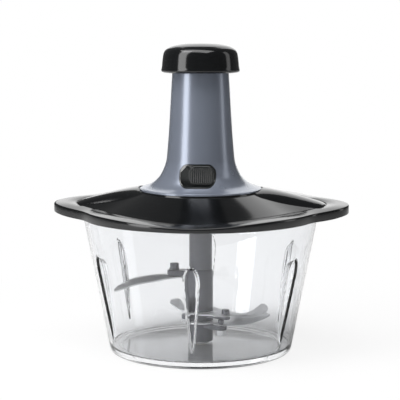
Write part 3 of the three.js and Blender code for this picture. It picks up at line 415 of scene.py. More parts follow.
def made_object(
    name: str, mesh: Mesh, material: bpy.types.Material, sharp: float = SHARP
) -> bpy.types.Object:
    """Links a mesh as an object at the origin, shaded smooth but for its sharp edges.

    Args:
        name: the piece's name.
        mesh: its mesh.
        material: its finish.
        sharp: edges sharper than this many degrees stay hard.

    Returns:
        The object.
    """
    mesh.name = name
    mesh.shade_smooth()
    mesh.set_sharp_from_angle(angle=math.radians(sharp))
    mesh.materials.clear()
    mesh.materials.append(material)
    made = bpy.data.objects.new(name, mesh)
    bpy.context.scene.collection.objects.link(made)
    return made


def closed(mesh: Mesh) -> Mesh:
    """Merges doubled points, drops empty faces and turns all faces outwards."""
    work = bmesh.new()
    work.from_mesh(mesh)
    bmesh.ops.remove_doubles(work, verts=work.verts, dist=MERGE)
    bmesh.ops.dissolve_degenerate(work, edges=work.edges, dist=MERGE)
    bmesh.ops.recalc_face_normals(work, faces=work.faces)
    work.to_mesh(mesh)
    work.free()
    return mesh


def grid_mesh(points: np.ndarray, round_rows: bool, round_columns: bool) -> Mesh:
    """A closed mesh over a grid of points: each four neighbours make a face.

    Args:
        points: array of rows, columns and three coordinates in millimetres.
        round_rows: the last row joins the first.
        round_columns: the last column joins the first.

    Returns:
        The mesh, in metres.
    """
    rows, columns = points.shape[:2]
    number = np.arange(rows * columns).reshape(rows, columns)
    here = number if round_rows else number[:-1]
    below = np.roll(number, -1, axis=0) if round_rows else number[1:]
    quads = np.stack([here, np.roll(here, -1, axis=1), np.roll(below, -1, axis=1), below], axis=-1)
    if not round_columns:
        quads = quads[:, :-1]
    quads = quads.reshape(-1, 4)
    mesh = bpy.data.meshes.new("work")
    mesh.vertices.add(rows * columns)
    mesh.vertices.foreach_set("co", (points.reshape(-1) * MM).astype(np.float32))
    mesh.loops.add(quads.size)
    mesh.loops.foreach_set("vertex_index", quads.reshape(-1).astype(np.int32))
    mesh.polygons.add(len(quads))
    mesh.polygons.foreach_set("loop_start", np.arange(0, quads.size, 4, dtype=np.int32))
    mesh.update(calc_edges=True)
    return closed(mesh)


def capped(sections: np.ndarray) -> np.ndarray:
    """Closes a row of sections at the middle of its first and of its last."""
    middle = np.repeat(sections.mean(axis=1, keepdims=True), sections.shape[1], axis=1)
    return np.concatenate([middle[:1], sections, middle[-1:]])


def around(r: np.ndarray, angle: np.ndarray, z: np.ndarray) -> np.ndarray:
    """Points at a distance from the Z axis, an angle about it and a height."""
    return np.stack([r * np.cos(angle), r * np.sin(angle), z + 0 * angle], axis=-1)


def eased(t: np.ndarray) -> np.ndarray:
    """A share from 0 to 1 with a soft start and end."""
    return t**2 * (3 - 2 * t)


def rounded(outline: Outline, radius: float, closes: bool, steps: int = 4) -> np.ndarray:
    """Rounds the corners of an outline.

    Each corner becomes a quadratic curve between two points on its sides, one radius away from it
    or a share of the side, whichever is nearer.

    Args:
        outline: corners in order.
        radius: distance of the curve's ends from the corner.
        closes: the outline closes on itself; otherwise its two ends stay.
        steps: points on each corner.

    Returns:
        The rounded outline.
    """
    corner = np.asarray(outline, float)
    ends = []
    for step in (1, -1):
        side = np.roll(corner, step, axis=0) - corner
        reach = np.minimum(radius / np.maximum(np.linalg.norm(side, axis=1), TINY), SIDE_SHARE)
        ends.append((corner + side * reach[:, None])[:, None])
    t = np.linspace(0, 1, steps)[None, :, None]
    curve = (1 - t) ** 2 * ends[0] + 2 * t * (1 - t) * corner[:, None] + t**2 * ends[1]
    if closes:
        return curve.reshape(-1, corner.shape[1])
    return np.vstack([corner[:1], curve[1:-1].reshape(-1, corner.shape[1]), corner[-1:]])


def stairs(*way: float) -> list[tuple[float, float]]:
    """Corners of an outline of right angles.

    Args:
        way: the first corner's radius and height, then each new radius and height in turn.

    Returns:
        Radius and height of each corner.
    """
    return [(way[k + k % 2], way[k + 1 - k % 2]) for k in range(len(way) - 1)]


def turned(outline: Outline, closes: bool, steps: int = 144, at: Sequence[float] = (0, 0, 0)) -> Mesh:
    """A turned piece: each outline point (radius, height) goes round an upright axis.

    Args:
        outline: radius and height of each point.
        closes: the outline closes on itself, as a ring's does.
        steps: points round the axis.
        at: where the axis stands.

    Returns:
        The closed mesh.
    """
    angle = np.linspace(0, 2 * np.pi, steps, endpoint=False)[:, None]
    r, z = np.asarray(outline, float).T[:, None]
    mesh = grid_mesh(around(r, angle, z), True, closes)
    points = np.empty(len(mesh.vertices) * 3, np.float32)
    mesh.vertices.foreach_get("co", points)
    there = points.reshape(-1, 3) + np.asarray(at, float) * MM
    mesh.vertices.foreach_set("co", there.astype(np.float32).reshape(-1))
    return mesh


def prism(
    outline: np.ndarray, low: float, high: float, edge: float, place: Callable[[np.ndarray], np.ndarray]
) -> Mesh:
    """A flat outline carried from one depth to another, with rounded edges at both ends.

    The outline shrinks towards its middle at the ends, which are closed at the middle.

    Args:
        outline: points in the plane.
        low: first depth.
        high: last depth.
        edge: radius of the rounded edges.
        place: turns points (across, along, depth) into places in the row frame.

    Returns:
        The closed mesh.
    """
    middle = outline.mean(axis=0)
    away = outline - middle
    quarter = np.linspace(0, np.pi / 2, 5)
    out, up = edge * (1 - np.sin(quarter)), edge * (1 - np.cos(quarter))
    inset = np.concatenate([[np.abs(away).max()], out, up, [np.abs(away).max()]])
    depth = np.concatenate([[low], low + up, high - out, [high]])
    length = np.linalg.norm(away, axis=1, keepdims=True)
    share = np.maximum(0, 1 - inset[:, None, None] / np.maximum(length[None], TINY))
    flat = middle + away[None] * share
    upright = np.broadcast_to(depth[:, None, None], (*flat.shape[:2], 1))
    return grid_mesh(place(np.concatenate([flat, upright], axis=-1)), False, True)


def facing(x: float, z: float) -> Callable[[np.ndarray], np.ndarray]:
    """A place on the tower's front for a prism: its depth goes towards the front."""
    return lambda p: np.stack([p[..., 0] + x, -p[..., 2], p[..., 1] + z], axis=-1)


def bar_outline(length: float, height: float, corner: float, steps: int = 14) -> np.ndarray:
    """A bar with round corners, as points round it."""
    quarter = np.linspace(0, np.pi / 2, steps)
    arc = corner * np.stack([np.cos(quarter), np.sin(quarter)], axis=-1)
    right, top = length / 2 - corner, height / 2 - corner
    first = arc + (right, top)
    second = arc[::-1] * (-1, 1) + (-right, top)
    return np.vstack([first, second, -first, -second])


def combined(first: Mesh, *others: tuple[str, Mesh]) -> Mesh:
    """Joins or cuts closed meshes.

    Args:
        first: the mesh to start with.
        others: pairs of UNION, DIFFERENCE or INTERSECT and a mesh.

    Returns:
        The combined mesh.
    """
    work = []
    for mesh in (first, *(mesh for _, mesh in others)):
        work.append(bpy.data.objects.new("work", mesh))
        bpy.context.scene.collection.objects.link(work[-1])
    for (operation, _), tool in zip(others, work[1:]):
        step = work[0].modifiers.new("step", "BOOLEAN")
        step.operation = operation
        step.solver = "EXACT"
        step.object = tool
    bpy.context.view_layer.update()
    seen = work[0].evaluated_get(bpy.context.evaluated_depsgraph_get())
    made = bpy.data.meshes.new_from_object(seen)
    for tool in work:
        bpy.data.objects.remove(tool)
    return closed(made)


def block(low: Sequence[float], high: Sequence[float]) -> Mesh:
    """A block between two corners, for cutting and joining."""
    corner = np.array([low, high], float) * MM
    pick = [(0, 0, 0), (1, 0, 0), (1, 1, 0), (0, 1, 0), (0, 0, 1), (1, 0, 1), (1, 1, 1), (0, 1, 1)]
    faces = [(0, 3, 2, 1), (4, 5, 6, 7), (0, 1, 5, 4), (1, 2, 6, 5), (2, 3, 7, 6), (3, 0, 4, 7)]
    mesh = bpy.data.meshes.new("work")
    mesh.from_pydata(corner[pick, range(3)].tolist(), [], faces)
    return mesh


def turn_about_z(points: np.ndarray, degrees: float) -> np.ndarray:
    """Points turned about the Z axis."""
    c, s = math.cos(math.radians(degrees)), math.sin(math.radians(degrees))
    return points @ np.array([[c, s, 0], [-s, c, 0], [0, 0, 1]])


def smooth_rows(table: Outline, steps: int) -> np.ndarray:
    """A table's rows filled in by a smooth curve.

    Each stretch between two rows is a cubic. Its slope at a row is half the difference of that row's
    two neighbours.

    Args:
        table: rows of numbers.
        steps: points on each stretch.

    Returns:
        The longer table.
    """
    row = np.asarray(table, float)
    padded = np.vstack([2 * row[0] - row[1], row, 2 * row[-1] - row[-2]])
    p0, p1, p2, p3 = padded[:-3, None], padded[1:-2, None], padded[2:-1, None], padded[3:, None]
    t = np.linspace(0, 1, steps, endpoint=False)[None, :, None]
    filled = (
        (2 * t**3 - 3 * t**2 + 1) * p1
        + (t**3 - 2 * t**2 + t) * (p2 - p0) / 2
        + (3 * t**2 - 2 * t**3) * p2
        + (t**3 - t**2) * (p3 - p1) / 2
    )
    return np.vstack([filled.reshape(-1, row.shape[1]), row[-1:]])


# Sub-assemblies


@dataclass
class Bowl:
    """The clear bowl with its inward ribs, and the pin in its floor."""

    foot_radius: float = 73.6
    rim_radius: float = 94.6
    height: float = 109.8
    wall: float = 2.4
    floor: float = 5.2
    foot_recess: float = 1.8
    foot_width: float = 6.0
    corner: float = 3.0
    bend: float = 4.0
    rebate: float = 1.2
    lip_round: float = 0.4
    ribs: int = 6
    rib_depth: float = 4.6
    rib_half_width: float = 7.0
    rib_top: float = 81.0
    rib_bottom: float = 15.0
    rib_opening: float = 5.0
    rib_narrowing: float = 0.55
    rib_least: float = 0.2
    rib_softness: float = 0.9
    rib_share: float = 0.1
    pin_radius: float = 3.0
    pin_height: float = 12.0
    pin_boss_radius: float = 6.0
    pin_boss_height: float = 1.2
    gap: float = 0.3

    def outer_at(self, z: np.ndarray | float) -> np.ndarray | float:
        """Outer radius at a height: a straight taper."""
        return self.foot_radius + (self.rim_radius - self.foot_radius) / self.height * z

    def rib_press(self, angle: np.ndarray, z: np.ndarray) -> np.ndarray:
        """How deep a rib presses in.

        Across a rib the depth follows a cosine of the squared way across, so its middle is flat. The
        rib's width opens as a quarter circle below its top and narrows as a power of the height.

        Args:
            angle: angle about the axis.
            z: height.

        Returns:
            The depth.
        """
        pitch = 2 * np.pi / self.ribs
        away = np.abs((angle + np.pi / 2 + pitch / 2) % pitch - pitch / 2)
        down = np.clip((self.rib_top - z) / (self.rib_top - self.rib_bottom), 0, 1)
        opened = np.sqrt(np.clip(1 - (1 - np.minimum(1, down * self.rib_opening)) ** 2, 0, 1))
        half = self.rib_half_width * opened * (1 - down) ** self.rib_narrowing
        across = np.clip(away * self.outer_at(z) / np.maximum(half, 1e-6), 0, 1)
        fade = np.minimum(1, half / self.rib_half_width + self.rib_least)
        inside = (z < self.rib_top) & (z > self.rib_bottom)
        depth = self.rib_depth * fade * np.cos(across**2 * np.pi / 2) ** self.rib_softness
        return np.where(inside, depth, 0)

    def outline(self) -> np.ndarray:
        """The bowl's section without ribs, from the foot's middle round the rim to the floor's."""
        top, step = self.height, self.height - self.rebate
        foot_inner = self.foot_radius - self.corner - self.foot_width
        outer_z = np.linspace(self.bend, step - self.rebate, 70)
        inner_z = np.linspace(top - 1.0, self.floor + self.bend, 66)
        outer = np.stack([self.outer_at(outer_z), outer_z], axis=-1)
        inner = np.stack([self.outer_at(inner_z) - self.wall, inner_z], axis=-1)
        rim, mouth = self.rim_radius - self.rebate, self.outer_at(top) - self.wall
        ring = stairs(foot_inner + self.foot_recess / 2, 0, self.outer_at(0) - self.lip_round)
        underside = [*stairs(0, self.foot_recess, foot_inner), *ring, outer[0]]
        lip = [outer[-1], *stairs(self.outer_at(step), step, rim, top, mouth), inner[0]]
        corner, bore = self.outer_at(self.floor) - self.wall, self.pin_radius + self.gap
        boss = (self.pin_boss_radius, self.floor + self.pin_boss_height, bore, self.floor, 0)
        floor = [inner[-1], *stairs(corner, self.floor, *boss)]
        below, above = rounded(underside, 2.4, False, 6)[:-1], rounded(lip, self.lip_round, False)[1:-1]
        return np.vstack([below, outer, above, inner, rounded(floor, 2.0, False, 6)[1:]])

    def mesh(self) -> Mesh:
        """The wall, floor and foot: the section carried round in steps that are finest at the ribs."""
        outline = self.outline()
        near = np.linspace(-self.rib_share, self.rib_share, 48, endpoint=False)
        far = np.linspace(self.rib_share, 1 - self.rib_share, 24, endpoint=False)
        pitches = np.arange(self.ribs)[:, None] + np.concatenate([near, far])[None]
        angle = (pitches * 2 * np.pi / self.ribs - np.pi / 2).reshape(-1, 1)
        r, z = outline.T[:, None]
        wall = (r > self.outer_at(z) - 2 * self.wall).astype(float)
        return grid_mesh(around(r - wall * self.rib_press(angle, z + 0 * angle), angle, z), True, False)

    def build(self, finishes: Finishes) -> None:
        """Makes the bowl and its pin."""
        finishes.add("clear_bowl", self.mesh(), Body.BOWL, Slot.CLEAR, "bowl", 50)
        bottom, top, tip = self.floor + self.gap / 2, self.floor + self.pin_height, self.pin_radius / 2
        pin = stairs(0, bottom, self.pin_radius, top - tip) + stairs(tip, top, 0)
        mesh = turned(rounded(pin, 0.6, False), False, 48)
        finishes.add("floor_pin", mesh, Body.BOWL, Slot.STEEL, "centre_pin")


@dataclass
class Lid:
    """The black lid with its ears, side ridges and panels, and its seal."""

    bowl: Bowl
    skirt_wall: float = 1.8
    fit_gap: float = 0.7
    skirt_drop: float = 0.9
    ear_reach: float = 119.0
    ear_half_width: float = 39.0
    ear_thickness: float = 6.2
    ear_power: float = 2.5
    join_power: float = 15.0
    share_start: float = 0.65
    share_length: float = 0.45
    front_height: float = 112.4
    side_rise: float = 3.4
    back_height: float = 121.8
    step_half_width: float = 23.0
    ear_height: float = 119.8
    ear_blend: float = 1.5
    strip_rise: float = 0.9
    strip_inner: float = 81.0
    strip_ear: float = 102.3
    strip_start: float = 0.8
    strip_power: int = 5
    panel_step: float = 0.8
    panel_top: float = 129.5
    panel_power: float = 1.06
    plate_top: float = 130.4
    plate: float = 3.0
    wall: float = 2.4
    hub_radius: float = 49.6
    hub_step: float = 0.5
    hub_bore: float = 15.0
    plug_wall: float = 1.8
    plug_depth: float = 2.2
    edge_round: float = 1.1
    ridge_crest: float = 132.5
    ridge_nose_height: float = 120.2
    ridge_nose: float = 101.0
    ridge_nose_length: float = 8.0
    ridge_root_half: float = 24.0
    ridge_nose_half: float = 13.5
    ridge_taper: float = 0.8
    ridge_fall: float = 1.25
    seal_height: float = 1.4
    seal_drop: float = 0.3
    screw_pitch: float = 37.0
    screw_hole: float = 1.7
    screws: int = 3
    gap: float = 0.3

    def __post_init__(self) -> None:
        """Works out the sizes that follow from the bowl."""
        bowl = self.bowl
        self.skirt_inner = bowl.rim_radius - bowl.rebate + self.fit_gap
        self.outer_radius = self.skirt_inner + self.skirt_wall
        self.skirt_bottom = bowl.height - self.skirt_drop
        self.plug_bottom = bowl.height - self.plug_depth
        self.plug_outer = float(bowl.outer_at(self.plug_bottom)) - bowl.wall - 6 * self.gap

    def reach_at(self, angle: np.ndarray) -> np.ndarray:
        """Plan outline: a circle and a squared oval, joined by the sum of their high powers."""
        c = np.abs(np.cos(angle)) / self.ear_reach
        s = np.abs(np.sin(angle)) / self.ear_half_width
        ear = (c**self.ear_power + s**self.ear_power) ** (-1 / self.ear_power)
        return (self.outer_radius**self.join_power + ear**self.join_power) ** (1 / self.join_power)

    def ear_share(self, angle: np.ndarray) -> np.ndarray:
        """How far a place belongs to an ear: an eased step of its distance along X."""
        x = np.abs(self.reach_at(angle) * np.cos(angle))
        return eased(np.clip((x / self.ear_reach - self.share_start) / self.share_length, 0, 1))

    def edge_at(self, angle: np.ndarray) -> np.ndarray:
        """Height of the edge: rising to the sides, stepped to the back, eased into the ears'."""
        x, y = self.reach_at(angle) * np.cos(angle), self.reach_at(angle) * np.sin(angle)
        side = np.clip(np.abs(x) / (self.share_start * self.ear_reach), 0, 1)
        back = np.clip((y / self.step_half_width + 1) / 2, 0, 1)
        front = self.front_height + self.side_rise * eased(side)
        plain = front + (self.back_height - front) * eased(back)
        return plain + (self.ear_height - plain) * self.ear_share(angle) ** self.ear_blend

    def strip_inner_at(self, angle: np.ndarray) -> np.ndarray:
        """Inner radius of the edge strip, which grows as a power towards the ears."""
        side = np.clip((np.abs(np.cos(angle)) - self.strip_start) / (1 - self.strip_start), 0, 1)
        return self.strip_inner + (self.strip_ear - self.strip_inner) * side**self.strip_power

    def strip_height_at(self, angle: np.ndarray) -> np.ndarray:
        """Height of the strip's inner edge."""
        return self.edge_at(angle) + self.strip_rise * (1 - self.ear_share(angle))

    def top_at(self, angle: np.ndarray, r: np.ndarray) -> np.ndarray:
        """Height of the top face between hub and strip.

        The panel is a slightly hollow cone, a power of the way in. A ridge along X stands on it. Its
        crest falls as a power of the way out, its section is a parabola, its nose a quarter circle.

        Args:
            angle: angle about the axis.
            r: distance from the axis.

        Returns:
            The height.
        """
        edge = self.strip_inner_at(angle)
        low = self.strip_height_at(angle) - self.panel_step
        inward = np.clip((edge - r) / (edge - self.hub_radius), 0, 1)
        panel = low + (self.panel_top - low) * inward**self.panel_power
        x, y = np.abs(r * np.cos(angle)), np.abs(r * np.sin(angle))
        along = np.clip((x - self.hub_radius) / (self.ridge_nose - self.hub_radius), 0, 1)
        widening = self.ridge_nose_half - self.ridge_root_half
        half = self.ridge_root_half + widening * along**self.ridge_taper
        nose = np.clip((x - self.ridge_nose + self.ridge_nose_length) / self.ridge_nose_length, 0, 1)
        crest = self.ridge_crest - (self.ridge_crest - self.ridge_nose_height) * along**self.ridge_fall
        dome = np.clip(1 - (y / half) ** 2, 0, 1) * np.sqrt(1 - nose**2)
        return panel + np.maximum(0, crest - panel) * dome

    def section(self, angle: np.ndarray) -> list[tuple[np.ndarray | float, np.ndarray | float]]:
        """The lid's closed section at each angle.

        Args:
            angle: angles about the axis.

        Returns:
            Radius and height of each point, from the bore over the top, round the edge and back below.
        """
        reach, edge = self.reach_at(angle), self.edge_at(angle)
        strip, strip_z = self.strip_inner_at(angle), self.strip_height_at(angle)
        panel_edge = strip - self.panel_step
        wall_top = self.hub_radius + self.hub_step
        plate_bottom = self.plate_top - self.plate
        plug_inner = self.plug_outer - self.plug_wall
        drop = edge - self.ear_thickness - self.skirt_bottom
        low = self.skirt_bottom + drop * self.ear_share(angle)
        over = [wall_top + (panel_edge - wall_top) * share for share in np.linspace(0, 0.985, 34)]
        under = np.linspace(0.9, 0.07, 14)
        below = [wall_top + (panel_edge - wall_top) * share for share in under]
        bend, soft = np.linspace(0.15, 1, 6) * np.pi / 2, self.edge_round
        return [
            (self.hub_bore, plate_bottom),
            (self.hub_bore, self.plate_top),
            (self.hub_radius, self.plate_top),
            *((r, self.top_at(angle, r)) for r in over),
            (panel_edge, strip_z - self.panel_step),
            (strip - 0.3, strip_z - 0.25),
            (strip + 0.3, strip_z),
            ((strip + reach) / 2, (strip_z + edge) / 2 + 0.12),
            (reach - 1.6 * soft, edge + 0.05),
            *((reach - soft * (1 - math.sin(a)), edge - soft * (1 - math.cos(a))) for a in bend),
            (reach, low + 0.5),
            (reach - 0.15, low + 0.15),
            (reach - 0.5, low),
            (self.skirt_inner + 0.7 * self.skirt_wall + (reach - self.outer_radius) * 0.08, low),
            *stairs(
                self.skirt_inner + 0.4 * self.skirt_wall, self.skirt_bottom, self.skirt_inner,
                self.bowl.height + self.gap, self.plug_outer, self.plug_bottom, plug_inner,
            ),
            *(
                (np.minimum(r, plug_inner - self.gap * (1 + share)), self.top_at(angle, r) - self.wall)
                for r, share in zip(below, under)
            ),
            (self.hub_radius - self.wall, plate_bottom),
        ]

    def mesh(self) -> Mesh:
        """The lid's shell with its screw holes."""
        angle = np.linspace(0, 2 * np.pi, 480, endpoint=False)
        columns = self.section(angle)
        r, z = (np.stack([column[k] + 0 * angle for column in columns], axis=1) for k in range(2))
        shell = grid_mesh(around(r, angle[:, None], z), True, True)
        turn = np.pi / 2 + np.arange(self.screws) * 2 * np.pi / self.screws
        bar = stairs(0, self.plate_top - self.plate - 2, self.screw_hole, self.plate_top + 2, 0)
        places = around(self.screw_pitch, turn, 0)
        return combined(shell, *(("DIFFERENCE", turned(bar, False, 24, place)) for place in places))

    def build(self, finishes: Finishes) -> None:
        """Makes the lid and its seal."""
        finishes.add("black_lid", self.mesh(), Body.LID, Slot.BLACK, "lid", 28)
        bottom = self.plug_bottom + self.seal_drop
        lip = float(self.bowl.outer_at(bottom)) - self.bowl.wall - 2 * self.gap
        inner = self.plug_outer + 2 * self.gap
        low, high = bottom + self.seal_height / 4, bottom + 3 * (self.seal_height / 4)
        seal = [(inner, bottom), (lip, low), (lip, high), (inner, bottom + self.seal_height)]
        mesh = turned(rounded(seal, 0.2, True), True, 180)
        finishes.add("rim_seal", mesh, Body.LID, Slot.SILICONE, "lid_seal")


@dataclass
class Tower:
    """The blue-grey tower on the lid, its lock recess and the bush at its mouth."""

    flange_radius: float = 49.1
    bottom: float = 130.7
    height: float = 103.4
    wall: float = 2.4
    recess_length: float = 28.6
    recess_height: float = 17.6
    recess_corner: float = 6.8
    recess_z: float = 144.4
    floor_depth: float = 25.2
    back_wall: float = 2.0
    front_depth: float = 44.0
    slot_height: float = 3.6
    slot_low: float = -6.1
    slot_high: float = 4.9
    tray_wall: float = 0.7
    tray_floor: float = 1.2
    bush_length: float = 12.0
    bush_lip: float = 21.4
    bush_lip_thickness: float = 1.9
    bush_inner: float = 17.3
    past: float = 4.0
    steps: int = 192
    gap: float = 0.3

    SHARES = (
        (1, 0), (1, 0.01), (0.965, 0.0165), (0.91, 0.024), (0.82, 0.042), (0.74, 0.069),
        (0.67, 0.104), (0.618, 0.148), (0.58, 0.193), (0.556, 0.24), (0.538, 0.33), (0.516, 0.46),
        (0.497, 0.616), (0.479, 0.771), (0.465, 0.88), (0.452, 1),
    )

    @property
    def top(self) -> float:
        """Height of the tower's mouth."""
        return self.bottom + self.height

    def outer(self) -> np.ndarray:
        """The tower's outline from the flange up, filled in by a smooth curve above its rim."""
        points = np.asarray(self.SHARES) * (self.flange_radius, self.height) + (0, self.bottom)
        return np.vstack([points[:1], smooth_rows(points[1:], 6)])

    def pocket(self, grow: float, low: float, high: float) -> Mesh:
        """A rounded bar along the front.

        Args:
            grow: how far it is larger than the recess all round.
            low: depth of its back.
            high: depth of its front.

        Returns:
            The closed mesh.
        """
        length, height = self.recess_length + 2 * grow, self.recess_height + 2 * grow
        outline = bar_outline(length, height, self.recess_corner + grow)
        return prism(outline, low, high, 0.01, facing(0, self.recess_z))

    def whole(self, inset: float) -> Mesh:
        """Everything inside the tower's outer face, or inside a smaller form of it."""
        outline = np.vstack([[[0, self.bottom]], self.outer() - (inset, 0), [[0, self.top]]])
        return turned(outline, False, self.steps)

    def slot(self) -> Mesh:
        """The latch's slot through the recess's floor."""
        half = self.slot_height / 2
        low = (self.slot_low - self.gap, -self.floor_depth - self.past, self.recess_z - half)
        back = -self.floor_depth + self.back_wall + self.past
        return block(low, (self.slot_high, back, self.recess_z + half))

    def mesh(self) -> Mesh:
        """The shell with a block behind the recess, the recess and the latch's slot cut out."""
        outer = self.outer()
        along = np.gradient(outer, axis=0)
        inward = np.stack([-along[:, 1], along[:, 0]], axis=-1)
        inner = outer + self.wall * (inward / np.linalg.norm(along, axis=1, keepdims=True))
        inner[:, 1] = np.clip(inner[:, 1], self.bottom, self.top)
        inner = inner[inner[:, 1] > self.bottom + self.wall / 3]
        inner[-1, 1] = self.top
        mouth = [[self.flange_radius - 2 * self.wall, self.bottom]]
        shell = turned(np.vstack([mouth, outer, inner[::-1]]), True, self.steps)
        backing = self.pocket(self.back_wall, self.floor_depth - self.back_wall, self.front_depth)
        pocket = self.pocket(self.gap, self.floor_depth, self.front_depth + self.past)
        return combined(
            shell,
            ("UNION", combined(backing, ("INTERSECT", self.whole(self.wall / 2)))),
            ("DIFFERENCE", pocket),
            ("DIFFERENCE", self.slot()),
        )

    def tray_mesh(self) -> Mesh:
        """The black tray that lines the recess and ends at the tower's outer face."""
        low = self.floor_depth + self.gap
        hollow = self.pocket(-self.tray_wall, low + self.tray_floor, self.front_depth + self.past)
        return combined(
            self.pocket(0, low, self.front_depth),
            ("INTERSECT", self.whole(0)),
            ("DIFFERENCE", hollow),
            ("DIFFERENCE", self.slot()),
        )

    def build(self, finishes: Finishes) -> None:
        """Makes the tower, the tray in its recess and its bush."""
        finishes.add("grey_tower", self.mesh(), Body.LID, Slot.TOWER, "tower_shell", 26)
        tray = finishes.add("recess_tray", self.tray_mesh(), Body.LID, Slot.BLACK, "lock_tray", 26)
        tray.materials[0] = finishes.satin
        outer = self.SHARES[-1][0] * self.flange_radius - self.wall - self.gap
        low, step = self.top - self.bush_length, self.top + self.gap
        high = step + self.bush_lip_thickness
        bush = stairs(self.bush_inner, low, outer, step, self.bush_lip, high, self.bush_inner)
        mesh = turned(rounded(bush, 0.5, True), True)
        finishes.add("mouth_bush", mesh, Body.LID, Slot.BLACK, "guide_bush")


@dataclass
class Cap:
    """The push cap and the plunger tube that carries it."""

    lip_radius: float = 31.5
    opening: float = 26.0
    lip_height: float = 224.2
    height: float = 23.9
    wall: float = 2.2
    screw_hole: float = 2.5
    screw_radius: float = 2.2
    boss: float = 6.2
    plunger_top: float = 242.0
    plunger_radius: float = 17.0
    plunger_wall: float = 2.2
    plunger_bottom: float = 141.0
    flange_radius: float = 22.0
    flange_bottom: float = 236.6
    ceiling: float = 239.0
    gap: float = 0.3

    CATCH = ((-7.5, -19.6, 141.3), (-1.2, -15.9, 145.7))
    SHARES = (
        (0.94, 0.02), (0.985, 0.05), (1, 0.105), (0.986, 0.19), (0.973, 0.36), (0.95, 0.6),
        (0.918, 0.72), (0.868, 0.795), (0.8, 0.85), (0.71, 0.9), (0.5, 0.963), (0.25, 0.992),
        (0, 1),
    )
    HOLLOW = ((0.88, 0.62), (0.9, 0.2))

    def cap_mesh(self) -> Mesh:
        """The cap: a smooth outline above, its hollow and the screw's boss below."""
        size, lip = np.array([self.lip_radius, self.height]), (0, self.lip_height)
        over = smooth_rows(np.asarray(self.SHARES) * size + lip, 6)
        ceiling = self.lip_height + self.height - self.wall
        seat = self.plunger_top + self.gap
        under = [
            *stairs(0, seat + self.screw_radius, self.screw_hole, seat, self.boss, ceiling),
            (0.72 * self.lip_radius, ceiling - 0.1 * self.height),
            *(np.asarray(self.HOLLOW) * size + lip),
            (self.opening, self.lip_height + 0.07 * self.height),
            (self.opening, self.lip_height),
            over[0],
        ]
        return turned(np.vstack([rounded(under, 0.5, False)[:-1], over]), False, 192)

    def plunger_mesh(self) -> Mesh:
        """The tube with its flange, and the catch that the latch holds."""
        inner = self.plunger_radius - self.plunger_wall
        outer, flange, ceiling = self.plunger_radius, self.flange_radius, self.ceiling
        tube = stairs(inner, self.plunger_bottom, outer, self.flange_bottom, flange, ceiling)
        tube += stairs(outer, self.plunger_top, self.screw_hole, ceiling, inner)
        return combined(turned(rounded(tube, 0.4, True), True), ("UNION", block(*self.CATCH)))

    def build(self, finishes: Finishes) -> None:
        """Makes the cap and the plunger."""
        finishes.add("push_cap_top", self.cap_mesh(), Body.PLUNGER, Slot.BLACK, "push_cap", 40)
        finishes.add("plunger", self.plunger_mesh(), Body.PLUNGER, Slot.TOWER, "plunger_tube")


@dataclass
class Lock:
    """The ribbed lock button in the tower's recess."""

    tower: Tower
    travel: float = 6.4
    face: float = 30.2
    ribs: int = 11
    rib_depth: float = 0.7
    ribbed_share: float = 0.84
    rib_margin: float = 1.6
    neck: tuple[float, float] = (0.6, 4.6)
    gap: float = 0.3

    def build(self, finishes: Finishes) -> None:
        """Makes the button: a rounded bar with upright half-round ribs, and its neck."""
        t = self.tower
        length = t.recess_length - 2 * t.tray_wall - self.travel - 2 * self.gap
        height = t.recess_height - 2 * t.tray_wall - 2 * self.gap
        centre = t.recess_length / 2 - t.tray_wall - self.gap - length / 2
        front = t.floor_depth + self.gap + t.tray_floor
        outline = bar_outline(length, height, t.recess_corner - t.tray_wall - self.gap)
        place = facing(centre, t.recess_z)
        body = prism(outline, front + self.gap, self.face - self.rib_depth, 0.5, place)
        half = t.slot_height / 2 - self.gap
        neck = block(
            (self.neck[0], -front - 2 * self.gap, t.recess_z - half),
            (self.neck[1], -t.floor_depth + t.back_wall + self.gap, t.recess_z + half),
        )
        pitch = self.ribbed_share * length / self.ribs
        reach, radius = height / 2 - self.rib_margin, 0.4 * pitch
        bar = rounded(stairs(0, t.recess_z - reach, radius, t.recess_z + reach, 0), 0.5, False)
        across = centre + (np.arange(self.ribs) - (self.ribs - 1) / 2) * pitch
        ribs = [turned(bar, False, 20, (x, -self.face + radius, 0)) for x in across]
        mesh = combined(body, ("UNION", neck), *(("UNION", rib) for rib in ribs))
        button = finishes.add("ribbed_lock", mesh, Body.LOCK, Slot.BLACK, "lock_button", 25)
        button.materials[0] = finishes.satin


@dataclass(frozen=True)
class Arm:
    """One arm of the blade set: where its lug and peg are."""

    piece: str
    node: str
    angle: float
    height: float
    lug_reach: float
    lug_share: float
    peg_radius: float
    peg_height: float
    foot_share: float
    shank_below: float
    lug_over: bool = False
    seat_rise: float = 0.0


